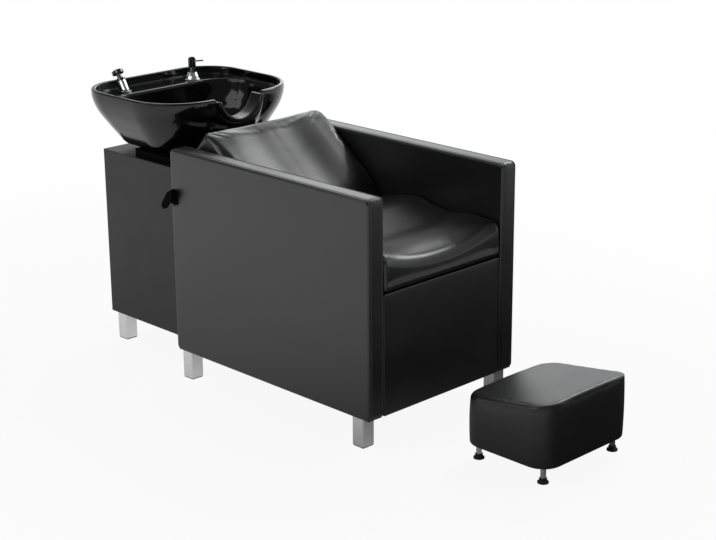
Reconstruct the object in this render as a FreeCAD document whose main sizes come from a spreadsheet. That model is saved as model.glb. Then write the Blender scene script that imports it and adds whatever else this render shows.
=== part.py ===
import FreeCAD, Part
import math
import os
import re

import Sketcher

# Hair washing bed: an upholstered chair between two arms, a cabinet behind it that
# carries a tilting wash bowl, and a footstool that stands in front.
# Places are given from the chair's front plane (y), its middle plane (x) and the
# floor (z), in millimetres. The datum then moves every piece so that the middle of
# the whole box is the origin.

SIZES = {
    # Chair: arms, covers and legs
    "chair_width": 620,
    "chair_length": 860,
    "arm_height": 650,
    "arm_thickness": 65,
    "arm_corner": 9,
    "cover_thickness": 6,
    "leg_height": 90,
    "leg_width": 45,
    "leg_wall": 2.5,
    "leg_corner": 4,
    "leg_side_inset": 6,
    "leg_front_inset": 29,
    "leg_rear_inset": 21,
    "glide_height": 4,
    "glide_plug": 12,
    # Clearances
    "soft_gap": 0.3,
    "cushion_side_gap": 1.5,
    "shaft_gap": 0.08,
    "slide_gap": 0.5,
    "overrun": 8,
    # Front panel, rear panel and cross rails
    "fascia_recess": 2,
    "fascia_top": 456,
    "fascia_board": 12,
    "fascia_cover": 3,
    "rear_panel_thickness": 15,
    "rear_panel_top": 630,
    "rail_width": 40,
    "rail_depth": 60,
    "front_rail_y": 60,
    "rear_rail_y": 440,
    # Seat
    "seat_bottom": 460,
    "seat_depth": 484,
    "seat_thickness": 128,
    "seat_board_thickness": 12,
    "seat_board_inset": 24,
    "seat_board_length": 520,
    "shoulder": 30,
    # Back, on a slope
    "back_foot_y": 487,
    "back_foot_z": 543.5,
    "back_length": 390,
    "back_thickness": 112,
    "back_core": 88,
    "back_slope_angle": 37,
    "back_board_thickness": 12,
    "back_board_inset": 30,
    "bracket_thickness": 5,
    "bracket_depth": 36,
    "bracket_side_inset": 45,
    "bracket_foot": 130,
    "bracket_length": 285,
    # Slide under the seat
    "seat_travel": 80,
    "slide_side_inset": 95,
    "channel_width": 42,
    "channel_height": 24,
    "channel_wall": 2.5,
    "channel_lip": 10,
    "runner_rise": 6,
    "runner_setback": 60,
    # Lever and the clamp that it works
    "lever_y": 840,
    "lever_z": 600,
    "lever_hub_radius": 13,
    "lever_hub_length": 17,
    "lever_length": 58,
    "lever_tip_width": 22,
    "lever_blade": 8,
    "lever_cant_angle": 38,
    "shaft_radius": 6,
    "bush_wall": 3,
    "plate_width": 28,
    "plate_height": 46,
    "plate_thickness": 4,
    "plate_corner": 5,
    "cam_radius": 14,
    "cam_throw": 3,
    "cam_width": 12,
    "bar_height": 20,
    "bar_thickness": 6,
    "bar_front_y": 692,
    "slot_gap": 4,
    # Cabinet
    "cabinet_width": 456,
    "cabinet_length": 450,
    "cabinet_height": 558,
    "cabinet_board": 16,
    "cabinet_edge": 2,
    "cabinet_leg_side_inset": 2,
    "cabinet_leg_rear_inset": 29,
    "service_board": 15,
    "service_screw_radius": 5,
    "service_screw_head": 2,
    "service_screw_inset": 30,
    "pipe_hole_radius": 60,
    "tail_slot_width": 150,
    "tail_slot_front": 1043,
    "tail_slot_rear": 1215,
    # Bowl base and tilt pivot
    "base_side_inset": 17,
    "base_front_y": 880,
    "base_rear_y": 1168,
    "base_height": 22,
    "base_corner": 12,
    "base_opening_width": 200,
    "base_opening_front": 922,
    "pivot_y": 960,
    "pivot_height": 12,
    "pivot_radius": 5,
    "ear_thickness": 4,
    "ear_radius": 8.5,
    "ear_spread": 70,
    "foot_plate": 3,
    "pivot_head": 5,
    "pivot_head_radius": 8,
    "bowl_plate": 4,
    "bowl_plate_rear": 1165,
    # Bowl
    "bowl_width": 576,
    "bowl_front_y": 883,
    "bowl_rear_y": 1371,
    "bowl_rim_z": 854,
    "bowl_bottom_z": 678,
    "bowl_wall": 8,
    "rim_width": 14,
    "rim_corner": 138,
    "deck_drop": 29,
    "deck_thickness": 10,
    "basin_side_inset": 20,
    "basin_front_inset": 22,
    "basin_rear_inset": 112,
    "basin_floor": 10,
    "neck_radius": 98,
    "neck_depth": 84,
    "neck_pad": 12,
    "neck_pad_width": 58,
    "neck_pad_forward": 12,
    "neck_pad_drop": 8,
    "tap_spread": 142,
    "tap_y": 1294,
    # Waste
    "drain_y": 1105,
    "drain_radius": 21,
    "drain_flange": 33,
    "drain_flange_height": 3,
    "strainer_radius": 18,
    "strainer_height": 4,
    "strainer_hole": 2.2,
    "strainer_ring": 11,
    "drain_bore": 14,
    "drain_length": 45,
    "nut_radius": 29,
    "nut_height": 10,
    "tail_radius": 16,
    "tail_bore": 13.5,
    "tail_length": 70,
    # Mixer tap
    "mixer_flange_radius": 27,
    "mixer_flange_height": 5,
    "mixer_skirt_height": 20,
    "mixer_radius": 13,
    "mixer_height": 44,
    "mixer_cap_height": 32,
    "mixer_cap_dome": 6,
    "mixer_slot": 9,
    "mixer_hub_radius": 6.5,
    "mixer_hub_rise": 18,
    "mixer_lever_length": 56,
    "mixer_lever_width": 7,
    "mixer_lever_thickness": 5,
    "mixer_lever_rise": 10,
    "tap_shank_radius": 11,
    "tap_shank_length": 34,
    # Hand shower in its holder
    "holder_radius": 15,
    "holder_flange": 21,
    "holder_flange_height": 6,
    "holder_length": 32,
    "holder_lift": 6,
    "holder_lean_angle": 32,
    "handset_radius": 11,
    "handset_seat": 22,
    "handset_collar_radius": 17,
    "handset_collar": 9,
    "handset_neck_radius": 8,
    "handset_neck": 18,
    "handset_head_radius": 19.5,
    "handset_head": 10,
    "spray_face_radius": 16,
    "spray_face": 2,
    # Footstool
    "stool_width": 384,
    "stool_depth": 311,
    "stool_front_top": 240,
    "stool_rear_top": 190,
    "stool_bottom": 49,
    "stool_x": 37,
    "stool_rear_y": -205,
    "stool_corner": 62,
    "stool_edge": 13,
    "stool_crown": 6,
    "stool_board": 15,
    "stool_board_inset": 8,
    "stem_radius": 8,
    "stem_inset": 39,
    "disc_radius": 16,
    "disc_height": 8,
    "disc_hub_radius": 11,
    "disc_hub_height": 6,
}

ROLL_SHARES = (
    # along the seat, height of the side roll, height of the hollow middle
    (0.000, 0.640, 0.330),
    (0.012, 0.760, 0.455),
    (0.050, 0.840, 0.560),
    (0.210, 0.805, 0.590),
    (0.380, 0.770, 0.625),
    (0.530, 0.870, 0.720),
    (0.665, 1.000, 0.800),
    (0.830, 0.915, 0.785),
    (0.960, 0.800, 0.715),
    (1.000, 0.690, 0.600),
)
BACK_SHARES = (
    # along the slope, height of the side roll, height of the hollow middle
    (0.000, 0.700, 0.640),
    (0.040, 0.800, 0.740),
    (0.200, 0.950, 0.860),
    (0.400, 0.990, 0.885),
    (0.620, 1.000, 0.890),
    (0.800, 0.985, 0.900),
    (0.900, 0.955, 0.885),
    (0.960, 0.890, 0.840),
    (1.000, 0.760, 0.720),
)
BOWL_SHARES = (
    # height, half width, front inset, rear inset and corner, of the bowl's own sizes
    (0.00, 0.720, 0.142, 0.165, 0.74),
    (0.12, 0.764, 0.120, 0.139, 0.78),
    (0.36, 0.860, 0.071, 0.082, 0.87),
    (0.65, 0.960, 0.020, 0.024, 0.96),
    (0.95, 1.000, 0.000, 0.000, 1.00),
    (1.00, 0.995, 0.003, 0.003, 0.99),
)
BASIN_SHARES = (
    # height, half width, front inset, rear inset and corner, of the basin's own sizes
    (0.00, 0.670, 0.230, 0.120, 0.62),
    (0.15, 0.800, 0.150, 0.070, 0.72),
    (0.50, 0.920, 0.070, 0.030, 0.82),
    (1.00, 1.000, 0.000, 0.000, 0.86),
)
QUARTER_SHARE = 0.293
FRONT_CORNER_SHARE = 1.31
STRAINER_HOLES = 8
TOUCH = 1e-4

# Places that several pieces share, worked out from the sizes
HALF = "(chair_width / 2)"
INNER = "(chair_width / 2 - arm_thickness)"
CABINET_HALF = "(cabinet_width / 2)"
CABINET_TOP = "(leg_height + cabinet_height)"
CABINET_REAR = "(chair_length + cabinet_length)"
BRACKET_X = f"({INNER} - bracket_side_inset)"
BRACKET_FACE = f"({BRACKET_X} + bracket_thickness / 2)"
SHAFT_TIP = f"({BRACKET_FACE} + bar_thickness / 2 - cam_width / 2)"
BAR_TOP = "(lever_z - cam_radius - cam_throw - soft_gap)"
BAR_REAR = "(lever_y + cam_radius + seat_travel)"
BUSH_RADIUS = "(shaft_radius + bush_wall)"
PIVOT_Z = f"({CABINET_TOP} + pivot_height)"
DECK_Z = "(bowl_rim_z - deck_drop)"
FLOOR_Z = "(bowl_bottom_z + basin_floor)"
LEVER_REACH = "(chair_width / 2 + plate_thickness + soft_gap + lever_hub_length)"
STOOL_FRONT = "(stool_rear_y - stool_depth)"
DATUM_X = f"(({LEVER_REACH} - {HALF}) / 2)"
DATUM_Y = f"(-(bowl_rear_y + {STOOL_FRONT}) / 2)"

doc = FreeCAD.newDocument("HairWashingBed")
sheet = doc.addObject("Spreadsheet::Sheet", "Sizes")
for row, (alias, number) in enumerate(SIZES.items(), start=1):
    sheet.set(f"A{row}", alias)
    sheet.set(f"B{row}", str(number))
    sheet.setAlias(f"B{row}", alias)
doc.recompute()

sub_parts = []


# Helpers for sizes and places

def bound(expression):
    """Points each size name in an expression at its cell of the sheet."""
    return re.sub(
        r"[a-z][a-z_]+",
        lambda word: f"Sizes.{word.group()}" if word.group() in SIZES else word.group(),
        expression,
    )


def size(expression):
    """Gives the present value of an expression of named sizes."""
    return float(sheet.evalExpression(bound(expression)))


def bind(thing, **properties):
    """Binds properties of an object to expressions of named sizes."""
    for name, expression in properties.items():
        thing.setExpression(name.replace("__", "."), bound(expression))


def stand(thing, x="0", y="0", z="0"):
    """Puts an inner object at a place of the chair's own frame."""
    bind(thing, Placement__Base__x=x, Placement__Base__y=y, Placement__Base__z=z)
    return thing


def sub_part(thing, label, x="0", y="0", z="0"):
    """Names a finished piece and moves it to the row's datum."""
    thing.Label = label
    stand(thing, f"{x} + {DATUM_X}", f"{y} + {DATUM_Y}", z)
    sub_parts.append(thing)
    return thing


def shaped(label, shape):
    """Adds a piece whose shape is worked out here, with its own place kept in it."""
    thing = doc.addObject("Part::Feature", label)
    thing.Shape = Part.makeCompound(shape.Solids)
    return sub_part(thing, label)


# Helpers for primitives and booleans

def box(name, corner, extent):
    thing = doc.addObject("Part::Box", name)
    bind(thing, Length=extent[0], Width=extent[1], Height=extent[2])
    return stand(thing, *corner)


def rod(name, start, radius, length, axis="Z"):
    """A round bar from its start point along the positive X, Y or Z axis."""
    thing = doc.addObject("Part::Cylinder", name)
    bind(thing, Radius=radius, Height=length)
    stand(thing, *start)
    turn = {
        "X": FreeCAD.Rotation(FreeCAD.Vector(0, 1, 0), 90),
        "Y": FreeCAD.Rotation(FreeCAD.Vector(1, 0, 0), -90),
        "Z": FreeCAD.Rotation(),
    }
    thing.Placement.Rotation = turn[axis]
    return thing


def joined(name, pieces):
    thing = doc.addObject("Part::MultiFuse", name)
    thing.Shapes = pieces
    return thing


def cut(name, base, tools):
    thing = doc.addObject("Part::Cut", name)
    thing.Base = base
    thing.Tool = tools[0] if len(tools) == 1 else joined(f"{name}_tools", tools)
    return thing


def group(name, pieces):
    thing = doc.addObject("Part::Compound", name)
    thing.Links = pieces
    return thing


# Helpers for bodies with sketches

def new_body(name):
    return doc.addObject("PartDesign::Body", name)


def sketch_on(body, name, role, offset="0"):
    sketch = body.newObject("Sketcher::SketchObject", name)
    planes = [plane for plane in body.Origin.OriginFeatures if plane.Role == role]
    sketch.AttachmentSupport = (planes[0], "")
    sketch.MapMode = "FlatFace"
    bind(sketch, AttachmentOffset__Base__z=offset)
    return sketch


def pin_point(sketch, edge, end, across, up):
    """Ties one point of a sketch to the origin by two named distances."""
    for kind, expression, axis in (("DistanceX", across, -2), ("DistanceY", up, -1)):
        if expression == "0":
            sketch.addConstraint(Sketcher.Constraint("PointOnObject", edge, end, axis))
        else:
            tie = Sketcher.Constraint(kind, -1, 1, edge, end, size(expression))
            number = sketch.addConstraint(tie)
            sketch.setExpression(f"Constraints[{number}]", bound(expression))


def outline(sketch, points):
    """A closed outline of straight edges through points in named sizes."""
    places = [FreeCAD.Vector(size(across), size(up), 0) for across, up in points]
    first = sketch.GeometryCount
    count = len(points)
    for number, place in enumerate(places):
        sketch.addGeometry(Part.LineSegment(place, places[(number + 1) % count]))
    for number in range(count):
        follower = first + (number + 1) % count
        sketch.addConstraint(
            Sketcher.Constraint("Coincident", first + number, 2, follower, 1))
    for number, (across, up) in enumerate(points):
        pin_point(sketch, first + number, 1, across, up)
    return sketch


def rectangle(sketch, left, low, width, height):
    right, high = f"{left} + {width}", f"{low} + {height}"
    return outline(sketch, [(left, low), (right, low), (right, high), (left, high)])


def circle(sketch, across, up, radius):
    place = FreeCAD.Vector(size(across), size(up), 0)
    edge = sketch.addGeometry(
        Part.Circle(place, FreeCAD.Vector(0, 0, 1), size(radius)))
    pin_point(sketch, edge, 3, across, up)
    number = sketch.addConstraint(Sketcher.Constraint("Radius", edge, size(radius)))
    sketch.setExpression(f"Constraints[{number}]", bound(radius))
    return sketch


def pad(body, sketch, length, reverse=False):
    feature = body.newObject("PartDesign::Pad", f"{sketch.Name}_pad")
    feature.Profile = sketch
    feature.Reversed = reverse
    bind(feature, Length=length)
    doc.recompute()
    return feature


def pocket(body, sketch, length, reverse=False):
    before = body.Shape.Volume
    feature = body.newObject("PartDesign::Pocket", f"{sketch.Name}_pocket")
    feature.Profile = sketch
    feature.Reversed = reverse
    bind(feature, Length=length)
    doc.recompute()
    if body.Shape.Volume >= before:
        raise RuntimeError(f"{feature.Name} cuts nothing")
    return feature


def round_edges(body, wanted, radius):
    """Rounds the edges of the body's tip that pass a test on their two ends."""
    base = body.Tip
    names = []
    for number, edge in enumerate(base.Shape.Edges, start=1):
        ends = [vertex.Point for vertex in edge.Vertexes]
        if len(ends) == 2 and wanted(*ends):
            names.append(f"Edge{number}")
    feature = body.newObject("PartDesign::Fillet", f"{body.Name}_round{len(body.Group)}")
    feature.Base = (base, names)
    bind(feature, Radius=radius)
    doc.recompute()
    return feature


def upright(one, two):
    return abs(one.x - two.x) + abs(one.y - two.y) < TOUCH


def turned(name, profile):
    """A body turned about its own Z axis from a profile of radius and height."""
    body = new_body(name)
    sketch = outline(sketch_on(body, f"{name}_profile", "XZ_Plane"), profile)
    feature = body.newObject("PartDesign::Revolution", f"{name}_turn")
    feature.Profile = sketch
    feature.ReferenceAxis = (sketch, ["V_Axis"])
    feature.Angle = 360
    doc.recompute()
    return body


def board(name, corner, extent, rounding=None, wanted=None):
    """A rectangular panel as a body, with rounded edges where they are wanted."""
    body = new_body(name)
    sketch = sketch_on(body, f"{name}_outline", "XY_Plane", corner[2])
    rectangle(sketch, corner[0], corner[1], extent[0], extent[1])
    pad(body, sketch, extent[2])
    if rounding:
        round_edges(body, wanted, rounding)
    return body


# Arms: a timber panel under a padded cover that is open at the bottom

def make_arm(side, outer):
    inside = f"{outer} + cover_thickness"
    panel = board(
        f"{side}_arm_timber",
        (inside, "cover_thickness", "leg_height"),
        ("arm_thickness - 2 * cover_thickness", "chair_length - 2 * cover_thickness",
         "arm_height - cover_thickness"))
    cover = board(
        f"{side}_arm_padding",
        (outer, "0", "leg_height"),
        ("arm_thickness", "chair_length", "arm_height"))
    base = size("leg_height")
    round_edges(
        cover,
        lambda one, two: upright(one, two) or min(one.z, two.z) > base + TOUCH,
        "arm_corner")
    sketch = sketch_on(cover, f"{side}_arm_space", "XY_Plane", "leg_height")
    rectangle(
        sketch, inside, "cover_thickness",
        "arm_thickness - 2 * cover_thickness", "chair_length - 2 * cover_thickness")
    pocket(cover, sketch, "arm_height - cover_thickness", reverse=True)
    return panel, cover


near_panel, near_cover = make_arm("near", f"(-{HALF})")
far_panel, far_cover = make_arm("far", INNER)


def bush_hole(name):
    return rod(name, (f"-{HALF} - overrun", "lever_y", "lever_z"), BUSH_RADIUS,
               "arm_thickness + 2 * overrun", "X")


sub_part(cut("near_arm_panel_bored", near_panel, [bush_hole("panel_hole")]),
         "near_arm_panel")
sub_part(cut("near_arm_cover_bored", near_cover, [bush_hole("cover_hole")]),
         "near_arm_cover")
sub_part(far_panel, "far_arm_panel")
sub_part(far_cover, "far_arm_cover")


# Front panel below the seat: a board in a thin padded cover

fascia_height = "(fascia_top - leg_height)"
fascia_width = f"(2 * {INNER})"
cover = board(
    "fascia_cover_body",
    (f"-{INNER}", "fascia_recess", "leg_height"),
    (fascia_width, "fascia_board + fascia_cover", fascia_height))
round_edges(
    cover,
    lambda one, two: max(one.y, two.y) < size("fascia_recess") + TOUCH
    and min(one.z, two.z) > size("fascia_top") - TOUCH,
    "fascia_cover")
sketch = sketch_on(cover, "fascia_space", "XZ_Plane", "-(fascia_recess + fascia_cover)")
rectangle(sketch, f"-{INNER} + fascia_cover", "leg_height",
          f"{fascia_width} - 2 * fascia_cover", f"{fascia_height} - fascia_cover")
pocket(cover, sketch, "fascia_board + overrun", reverse=False)
sub_part(cover, "front_panel_cover")
sub_part(
    board("front_board_body",
          (f"-{INNER} + fascia_cover", "fascia_recess + fascia_cover", "leg_height"),
          (f"{fascia_width} - 2 * fascia_cover", "fascia_board",
           f"{fascia_height} - fascia_cover")),
    "front_panel_board")


# Rear panel, with a slot for the cam and its bar, and the rails that tie the arms

rear_panel = board(
    "rear_panel_body",
    (f"-{INNER}", "chair_length - rear_panel_thickness", "leg_height"),
    (f"2 * {INNER}", "rear_panel_thickness", "rear_panel_top - leg_height"))
sketch = sketch_on(rear_panel, "bar_slot", "XZ_Plane", "-chair_length - overrun")
rectangle(sketch, f"-{SHAFT_TIP} - cam_width - slot_gap",
          f"{BAR_TOP} - bar_height - slot_gap", "cam_width + 2 * slot_gap",
          f"lever_z + cam_radius - {BAR_TOP} + bar_height + 2 * slot_gap")
pocket(rear_panel, sketch, "rear_panel_thickness + 2 * overrun", reverse=True)
sketch = sketch_on(rear_panel, "shaft_slot", "XZ_Plane", "-chair_length - overrun")
rectangle(sketch, f"-{INNER} - overrun", "lever_z - shaft_radius - slot_gap",
          f"{INNER} - {SHAFT_TIP} + overrun", "2 * (shaft_radius + slot_gap)")
pocket(rear_panel, sketch, "rear_panel_thickness + 2 * overrun", reverse=True)
sub_part(rear_panel, "rear_panel")

RAIL_TOP = "(seat_bottom - runner_rise - channel_height)"
SLIDE_X = f"({INNER} - slide_side_inset)"
for label, place in (("front_cross_rail", "front_rail_y"),
                     ("rear_cross_rail", "rear_rail_y")):
    rail = board(
        f"{label}_body",
        (f"-{INNER}", place, f"{RAIL_TOP} - rail_depth"),
        (f"2 * {INNER}", "rail_width", "rail_depth"))
    sub_part(rail, label)


# Seat slide: two lipped channels on the rails, and two runners below the seat board

def slide_profile(body, name, points, start):
    return outline(sketch_on(body, name, "XZ_Plane", f"-({start})"), points)


def make_channel(side, sign):
    middle = f"{sign} * {SLIDE_X}"
    half, wall, lip = "channel_width / 2", "channel_wall", "channel_lip"
    low, high = RAIL_TOP, f"{RAIL_TOP} + channel_height"
    body = new_body(f"{side}_channel")
    points = [
        (f"{middle} - {half}", low),
        (f"{middle} + {half}", low),
        (f"{middle} + {half}", high),
        (f"{middle} + {half} - {lip}", high),
        (f"{middle} + {half} - {lip}", f"{high} - {wall}"),
        (f"{middle} + {half} - {wall}", f"{high} - {wall}"),
        (f"{middle} + {half} - {wall}", f"{low} + {wall}"),
        (f"{middle} - {half} + {wall}", f"{low} + {wall}"),
        (f"{middle} - {half} + {wall}", f"{high} - {wall}"),
        (f"{middle} - {half} + {lip}", f"{high} - {wall}"),
        (f"{middle} - {half} + {lip}", high),
        (f"{middle} - {half}", high),
    ]
    sketch = slide_profile(body, f"{side}_channel_section", points, "front_rail_y")
    pad(body, sketch, "rear_rail_y + rail_width - front_rail_y", reverse=True)
    return body


def make_runner(side, sign):
    middle = f"{sign} * {SLIDE_X}"
    foot = "(channel_width / 2 - channel_wall - slide_gap)"
    stem = "(channel_width / 2 - channel_lip - slide_gap)"
    low = f"{RAIL_TOP} + channel_wall + slide_gap"
    high = f"{RAIL_TOP} + channel_height - channel_wall - slide_gap"
    body = new_body(f"{side}_runner")
    points = [
        (f"{middle} - {foot}", low),
        (f"{middle} + {foot}", low),
        (f"{middle} + {foot}", high),
        (f"{middle} + {stem}", high),
        (f"{middle} + {stem}", "seat_bottom"),
        (f"{middle} - {stem}", "seat_bottom"),
        (f"{middle} - {stem}", high),
        (f"{middle} - {foot}", high),
    ]
    start = "front_rail_y + runner_setback"
    sketch = slide_profile(body, f"{side}_runner_section", points, start)
    pad(body, sketch, f"rear_rail_y + rail_width - ({start})", reverse=True)
    return body


sides = (("near", "-1"), ("far", "1"))
sub_part(group("channels", [make_channel(side, sign) for side, sign in sides]),
         "slide_channels")
sub_part(group("runners", [make_runner(side, sign) for side, sign in sides]),
         "slide_runners")


# Seat board and seat cushion

SEAT_HALF = f"({INNER} - cushion_side_gap)"
sub_part(
    board("seat_board_body",
          (f"-({SEAT_HALF} - seat_board_inset)", "seat_board_inset", "seat_bottom"),
          (f"2 * ({SEAT_HALF} - seat_board_inset)", "seat_board_length",
           "seat_board_thickness")),
    "seat_board")


def point(across, along, up):
    return FreeCAD.Vector(across, along, up)


def cushion_section(half, low, roll, hollow, corner, along):
    """A cushion's section: flat below, rounded shoulders, a hollow in its middle."""
    flat = half - corner
    slant = corner * QUARTER_SHARE
    shoulder = roll - corner
    right = [point(half, along, low), point(half, along, shoulder),
             point(half - slant, along, roll - slant), point(flat, along, roll)]
    left = [point(-p.x, p.y, p.z) for p in right]
    edges = [
        Part.LineSegment(left[0], right[0]).toShape(),
        Part.LineSegment(right[0], right[1]).toShape(),
        Part.Arc(right[1], right[2], right[3]).toShape(),
        Part.Arc(right[3], point(0, along, hollow), left[3]).toShape(),
        Part.Arc(left[3], left[2], left[1]).toShape(),
        Part.LineSegment(left[1], left[0]).toShape(),
    ]
    return Part.Wire(edges)


def seat_cushion():
    half, low = size(SEAT_HALF), size("seat_bottom")
    depth, thick = size("seat_depth"), size("seat_thickness")
    sections = [
        cushion_section(
            half, low, low + roll * thick, low + hollow * thick,
            size("shoulder"), along * depth)
        for along, roll, hollow in ROLL_SHARES
    ]
    form = Part.makeLoft(sections, True, False)
    inset = size("seat_board_inset")
    space = Part.makeBox(
        2 * (half - inset), size("seat_board_length"), size("seat_board_thickness"),
        point(inset - half, inset, low))
    return form.cut(space)


shaped("seat_cushion", seat_cushion())


# Back cushion and its board, made upright-flat and then turned on to the slope

def on_slope(shape):
    """Carries a shape made along Y from its foot onto the slope of the back."""
    shape.rotate(point(0, 0, 0), point(1, 0, 0), size("back_slope_angle"))
    shape.translate(point(0, size("back_foot_y"), size("back_foot_z")))
    return shape


def back_cushion():
    half, low = size(SEAT_HALF), -size("back_core")
    length, thick = size("back_length"), size("back_thickness")
    sections = [
        cushion_section(
            half, low, low + roll * thick, low + hollow * thick,
            size("shoulder"), along * length)
        for along, roll, hollow in BACK_SHARES
    ]
    form = Part.makeLoft(sections, True, False)
    inset = size("back_board_inset")
    space = Part.makeBox(
        2 * (half - inset), length - 2 * inset, size("back_board_thickness"),
        point(inset - half, inset, low))
    return on_slope(form.cut(space))


def back_board():
    half = size(SEAT_HALF) - size("back_board_inset")
    inset = size("back_board_inset")
    return on_slope(Part.makeBox(
        2 * half, size("back_length") - 2 * inset, size("back_board_thickness"),
        point(-half, inset, -size("back_core"))))


shaped("back_cushion", back_cushion())
shaped("back_board", back_board())


# Steel brackets that carry the back board from below the seat board

def back_bracket(sign):
    slope = math.radians(size("back_slope_angle"))
    up = point(0, math.cos(slope), math.sin(slope))
    out = point(0, -math.sin(slope), math.cos(slope))
    foot = point(0, size("back_foot_y"), size("back_foot_z"))
    near = foot - out * size("back_core")
    far = near - out * size("bracket_depth")
    seat, depth = size("seat_bottom"), size("bracket_depth") / 2
    first = near + up * size("back_board_inset")
    low = far + up * ((seat - depth - far.z) / up.z)
    rear = size("seat_board_inset + seat_board_length")
    front = rear - size("bracket_foot")
    run = size("bracket_length")
    outline_points = [
        point(0, front, seat - depth), point(0, low.y, seat - depth),
        far + up * run, near + up * run, first,
        point(0, rear, max(first.z - (first.y - rear) * up.z / up.y, seat)),
        point(0, rear, seat), point(0, front, seat),
    ]
    face = Part.Face(Part.makePolygon(outline_points + outline_points[:1]))
    thick = size("bracket_thickness")
    plate = face.extrude(point(thick, 0, 0))
    plate.translate(point(sign * size(BRACKET_X) - thick / 2, 0, 0))
    return plate


shaped("back_brackets", Part.makeCompound([back_bracket(-1), back_bracket(1)]))


# Lever at the near arm's rear edge, its shaft, and the cam that clamps the seat

sub_part(
    cut("bush_tube",
        rod("bush_outside", (f"-{HALF}", "lever_y", "lever_z"), BUSH_RADIUS,
            "arm_thickness", "X"),
        [rod("bush_bore", (f"-{HALF} - overrun", "lever_y", "lever_z"),
             "shaft_radius + shaft_gap", "arm_thickness + 2 * overrun", "X")]),
    "lever_bush")

plate = board(
    "lever_plate_body",
    (f"-{HALF} - plate_thickness", "lever_y - plate_width / 2",
     "lever_z + plate_width / 2 - plate_height"),
    ("plate_thickness", "plate_width", "plate_height"))
round_edges(
    plate,
    lambda one, two: abs(one.y - two.y) + abs(one.z - two.z) < TOUCH,
    "plate_corner")
sub_part(
    cut("lever_plate_bored", plate,
        [rod("plate_bore", (f"-{HALF} - overrun", "lever_y", "lever_z"),
             "shaft_radius + shaft_gap", "2 * overrun", "X")]),
    "lever_plate")

HUB_X = f"(-{HALF} - plate_thickness - soft_gap)"
shaft_bar = rod(
    "shaft_bar", (f"{HUB_X} - lever_hub_length / 2", "lever_y", "lever_z"),
    "shaft_radius", f"(-{HUB_X}) + lever_hub_length / 2 - {SHAFT_TIP}", "X")
sub_part(group("shaft", [shaft_bar]), "lever_shaft")


def side_lever():
    """A hub with a tapered blade that leans to the rear, as seen from the side."""
    radius, tip = size("lever_hub_radius"), size("lever_tip_width") / 2
    reach, deep = size("lever_length"), size("lever_blade")
    outer = -size(LEVER_REACH)
    hub_length = size("lever_hub_length")
    hub = Part.makeCylinder(radius, hub_length, point(0, 0, 0), point(1, 0, 0))
    right = [point(0, radius, 0), point(0, tip, -reach + tip)]
    left = [point(0, -radius, 0), point(0, -tip, -reach + tip)]
    edges = [
        Part.LineSegment(left[0], left[1]).toShape(),
        Part.Arc(left[1], point(0, 0, -reach), right[1]).toShape(),
        Part.LineSegment(right[1], right[0]).toShape(),
        Part.LineSegment(right[0], left[0]).toShape(),
    ]
    blade = Part.Face(Part.Wire(edges)).extrude(point(deep, 0, 0))
    form = hub.fuse(blade).removeSplitter()
    bore = Part.makeCylinder(
        size("shaft_radius"), hub_length, point(hub_length / 2, 0, 0), point(1, 0, 0))
    form = form.cut(bore)
    form.rotate(point(0, 0, 0), point(1, 0, 0), size("lever_cant_angle"))
    form.translate(point(outer, size("lever_y"), size("lever_z")))
    return form


shaped("side_lever", side_lever())

CAM_X = f"(-{SHAFT_TIP} - cam_width)"
sub_part(
    cut("cam_disc",
        rod("cam_outside", (CAM_X, "lever_y", "lever_z - cam_throw"), "cam_radius",
            "cam_width", "X"),
        [rod("cam_bore", (f"{CAM_X} - overrun", "lever_y", "lever_z"), "shaft_radius",
             "cam_width + 2 * overrun", "X")]),
    "clamp_cam")
sub_part(
    board("clamp_bar_body",
          (f"-{BRACKET_FACE} - bar_thickness", "bar_front_y",
           f"{BAR_TOP} - bar_height"),
          ("bar_thickness", f"{BAR_REAR} - bar_front_y", "bar_height")),
    "clamp_bar")


# Cabinet behind the chair: sides, top, floor and a screwed service panel

def cabinet_side(side, start):
    panel = board(
        f"{side}_cabinet_body", (start, "chair_length", "leg_height"),
        ("cabinet_board", "cabinet_length", "cabinet_height"))
    outer = size(CABINET_HALF)
    round_edges(
        panel,
        lambda one, two: min(abs(one.x), abs(two.x)) > outer - TOUCH
        and (upright(one, two) or min(one.z, two.z) > size(CABINET_TOP) - TOUCH),
        "cabinet_edge")
    return panel


sub_part(cabinet_side("near", f"-{CABINET_HALF}"), "cabinet_near_side")
sub_part(cabinet_side("far", f"{CABINET_HALF} - cabinet_board"), "cabinet_far_side")

INSIDE_HALF = f"({CABINET_HALF} - cabinet_board)"
SERVICE_FRONT = f"({CABINET_REAR} - service_board)"
cabinet_top = board(
    "cabinet_top_body",
    (f"-{INSIDE_HALF}", "chair_length", f"{CABINET_TOP} - cabinet_board"),
    (f"2 * {INSIDE_HALF}", "cabinet_length", "cabinet_board"))
sketch = sketch_on(cabinet_top, "tail_slot", "XY_Plane", f"{CABINET_TOP} + overrun")
rectangle(sketch, "-tail_slot_width / 2", "tail_slot_front", "tail_slot_width",
          "tail_slot_rear - tail_slot_front")
pocket(cabinet_top, sketch, "cabinet_board + 2 * overrun")
sub_part(cabinet_top, "cabinet_top")

cabinet_floor = board(
    "cabinet_floor_body",
    (f"-{INSIDE_HALF}", "chair_length", "leg_height"),
    (f"2 * {INSIDE_HALF}", "cabinet_length - service_board", "cabinet_board"))
sketch = sketch_on(cabinet_floor, "pipe_hole", "XY_Plane",
                   "leg_height + cabinet_board + overrun")
circle(sketch, "0", "drain_y", "pipe_hole_radius")
pocket(cabinet_floor, sketch, "cabinet_board + 2 * overrun")
sub_part(cabinet_floor, "cabinet_floor")

service_top = f"({CABINET_TOP} - cabinet_board)"
sub_part(
    board("service_panel_body",
          (f"-{INSIDE_HALF}", SERVICE_FRONT, "leg_height"),
          (f"2 * {INSIDE_HALF}", "service_board", f"{service_top} - leg_height")),
    "service_panel")

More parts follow.
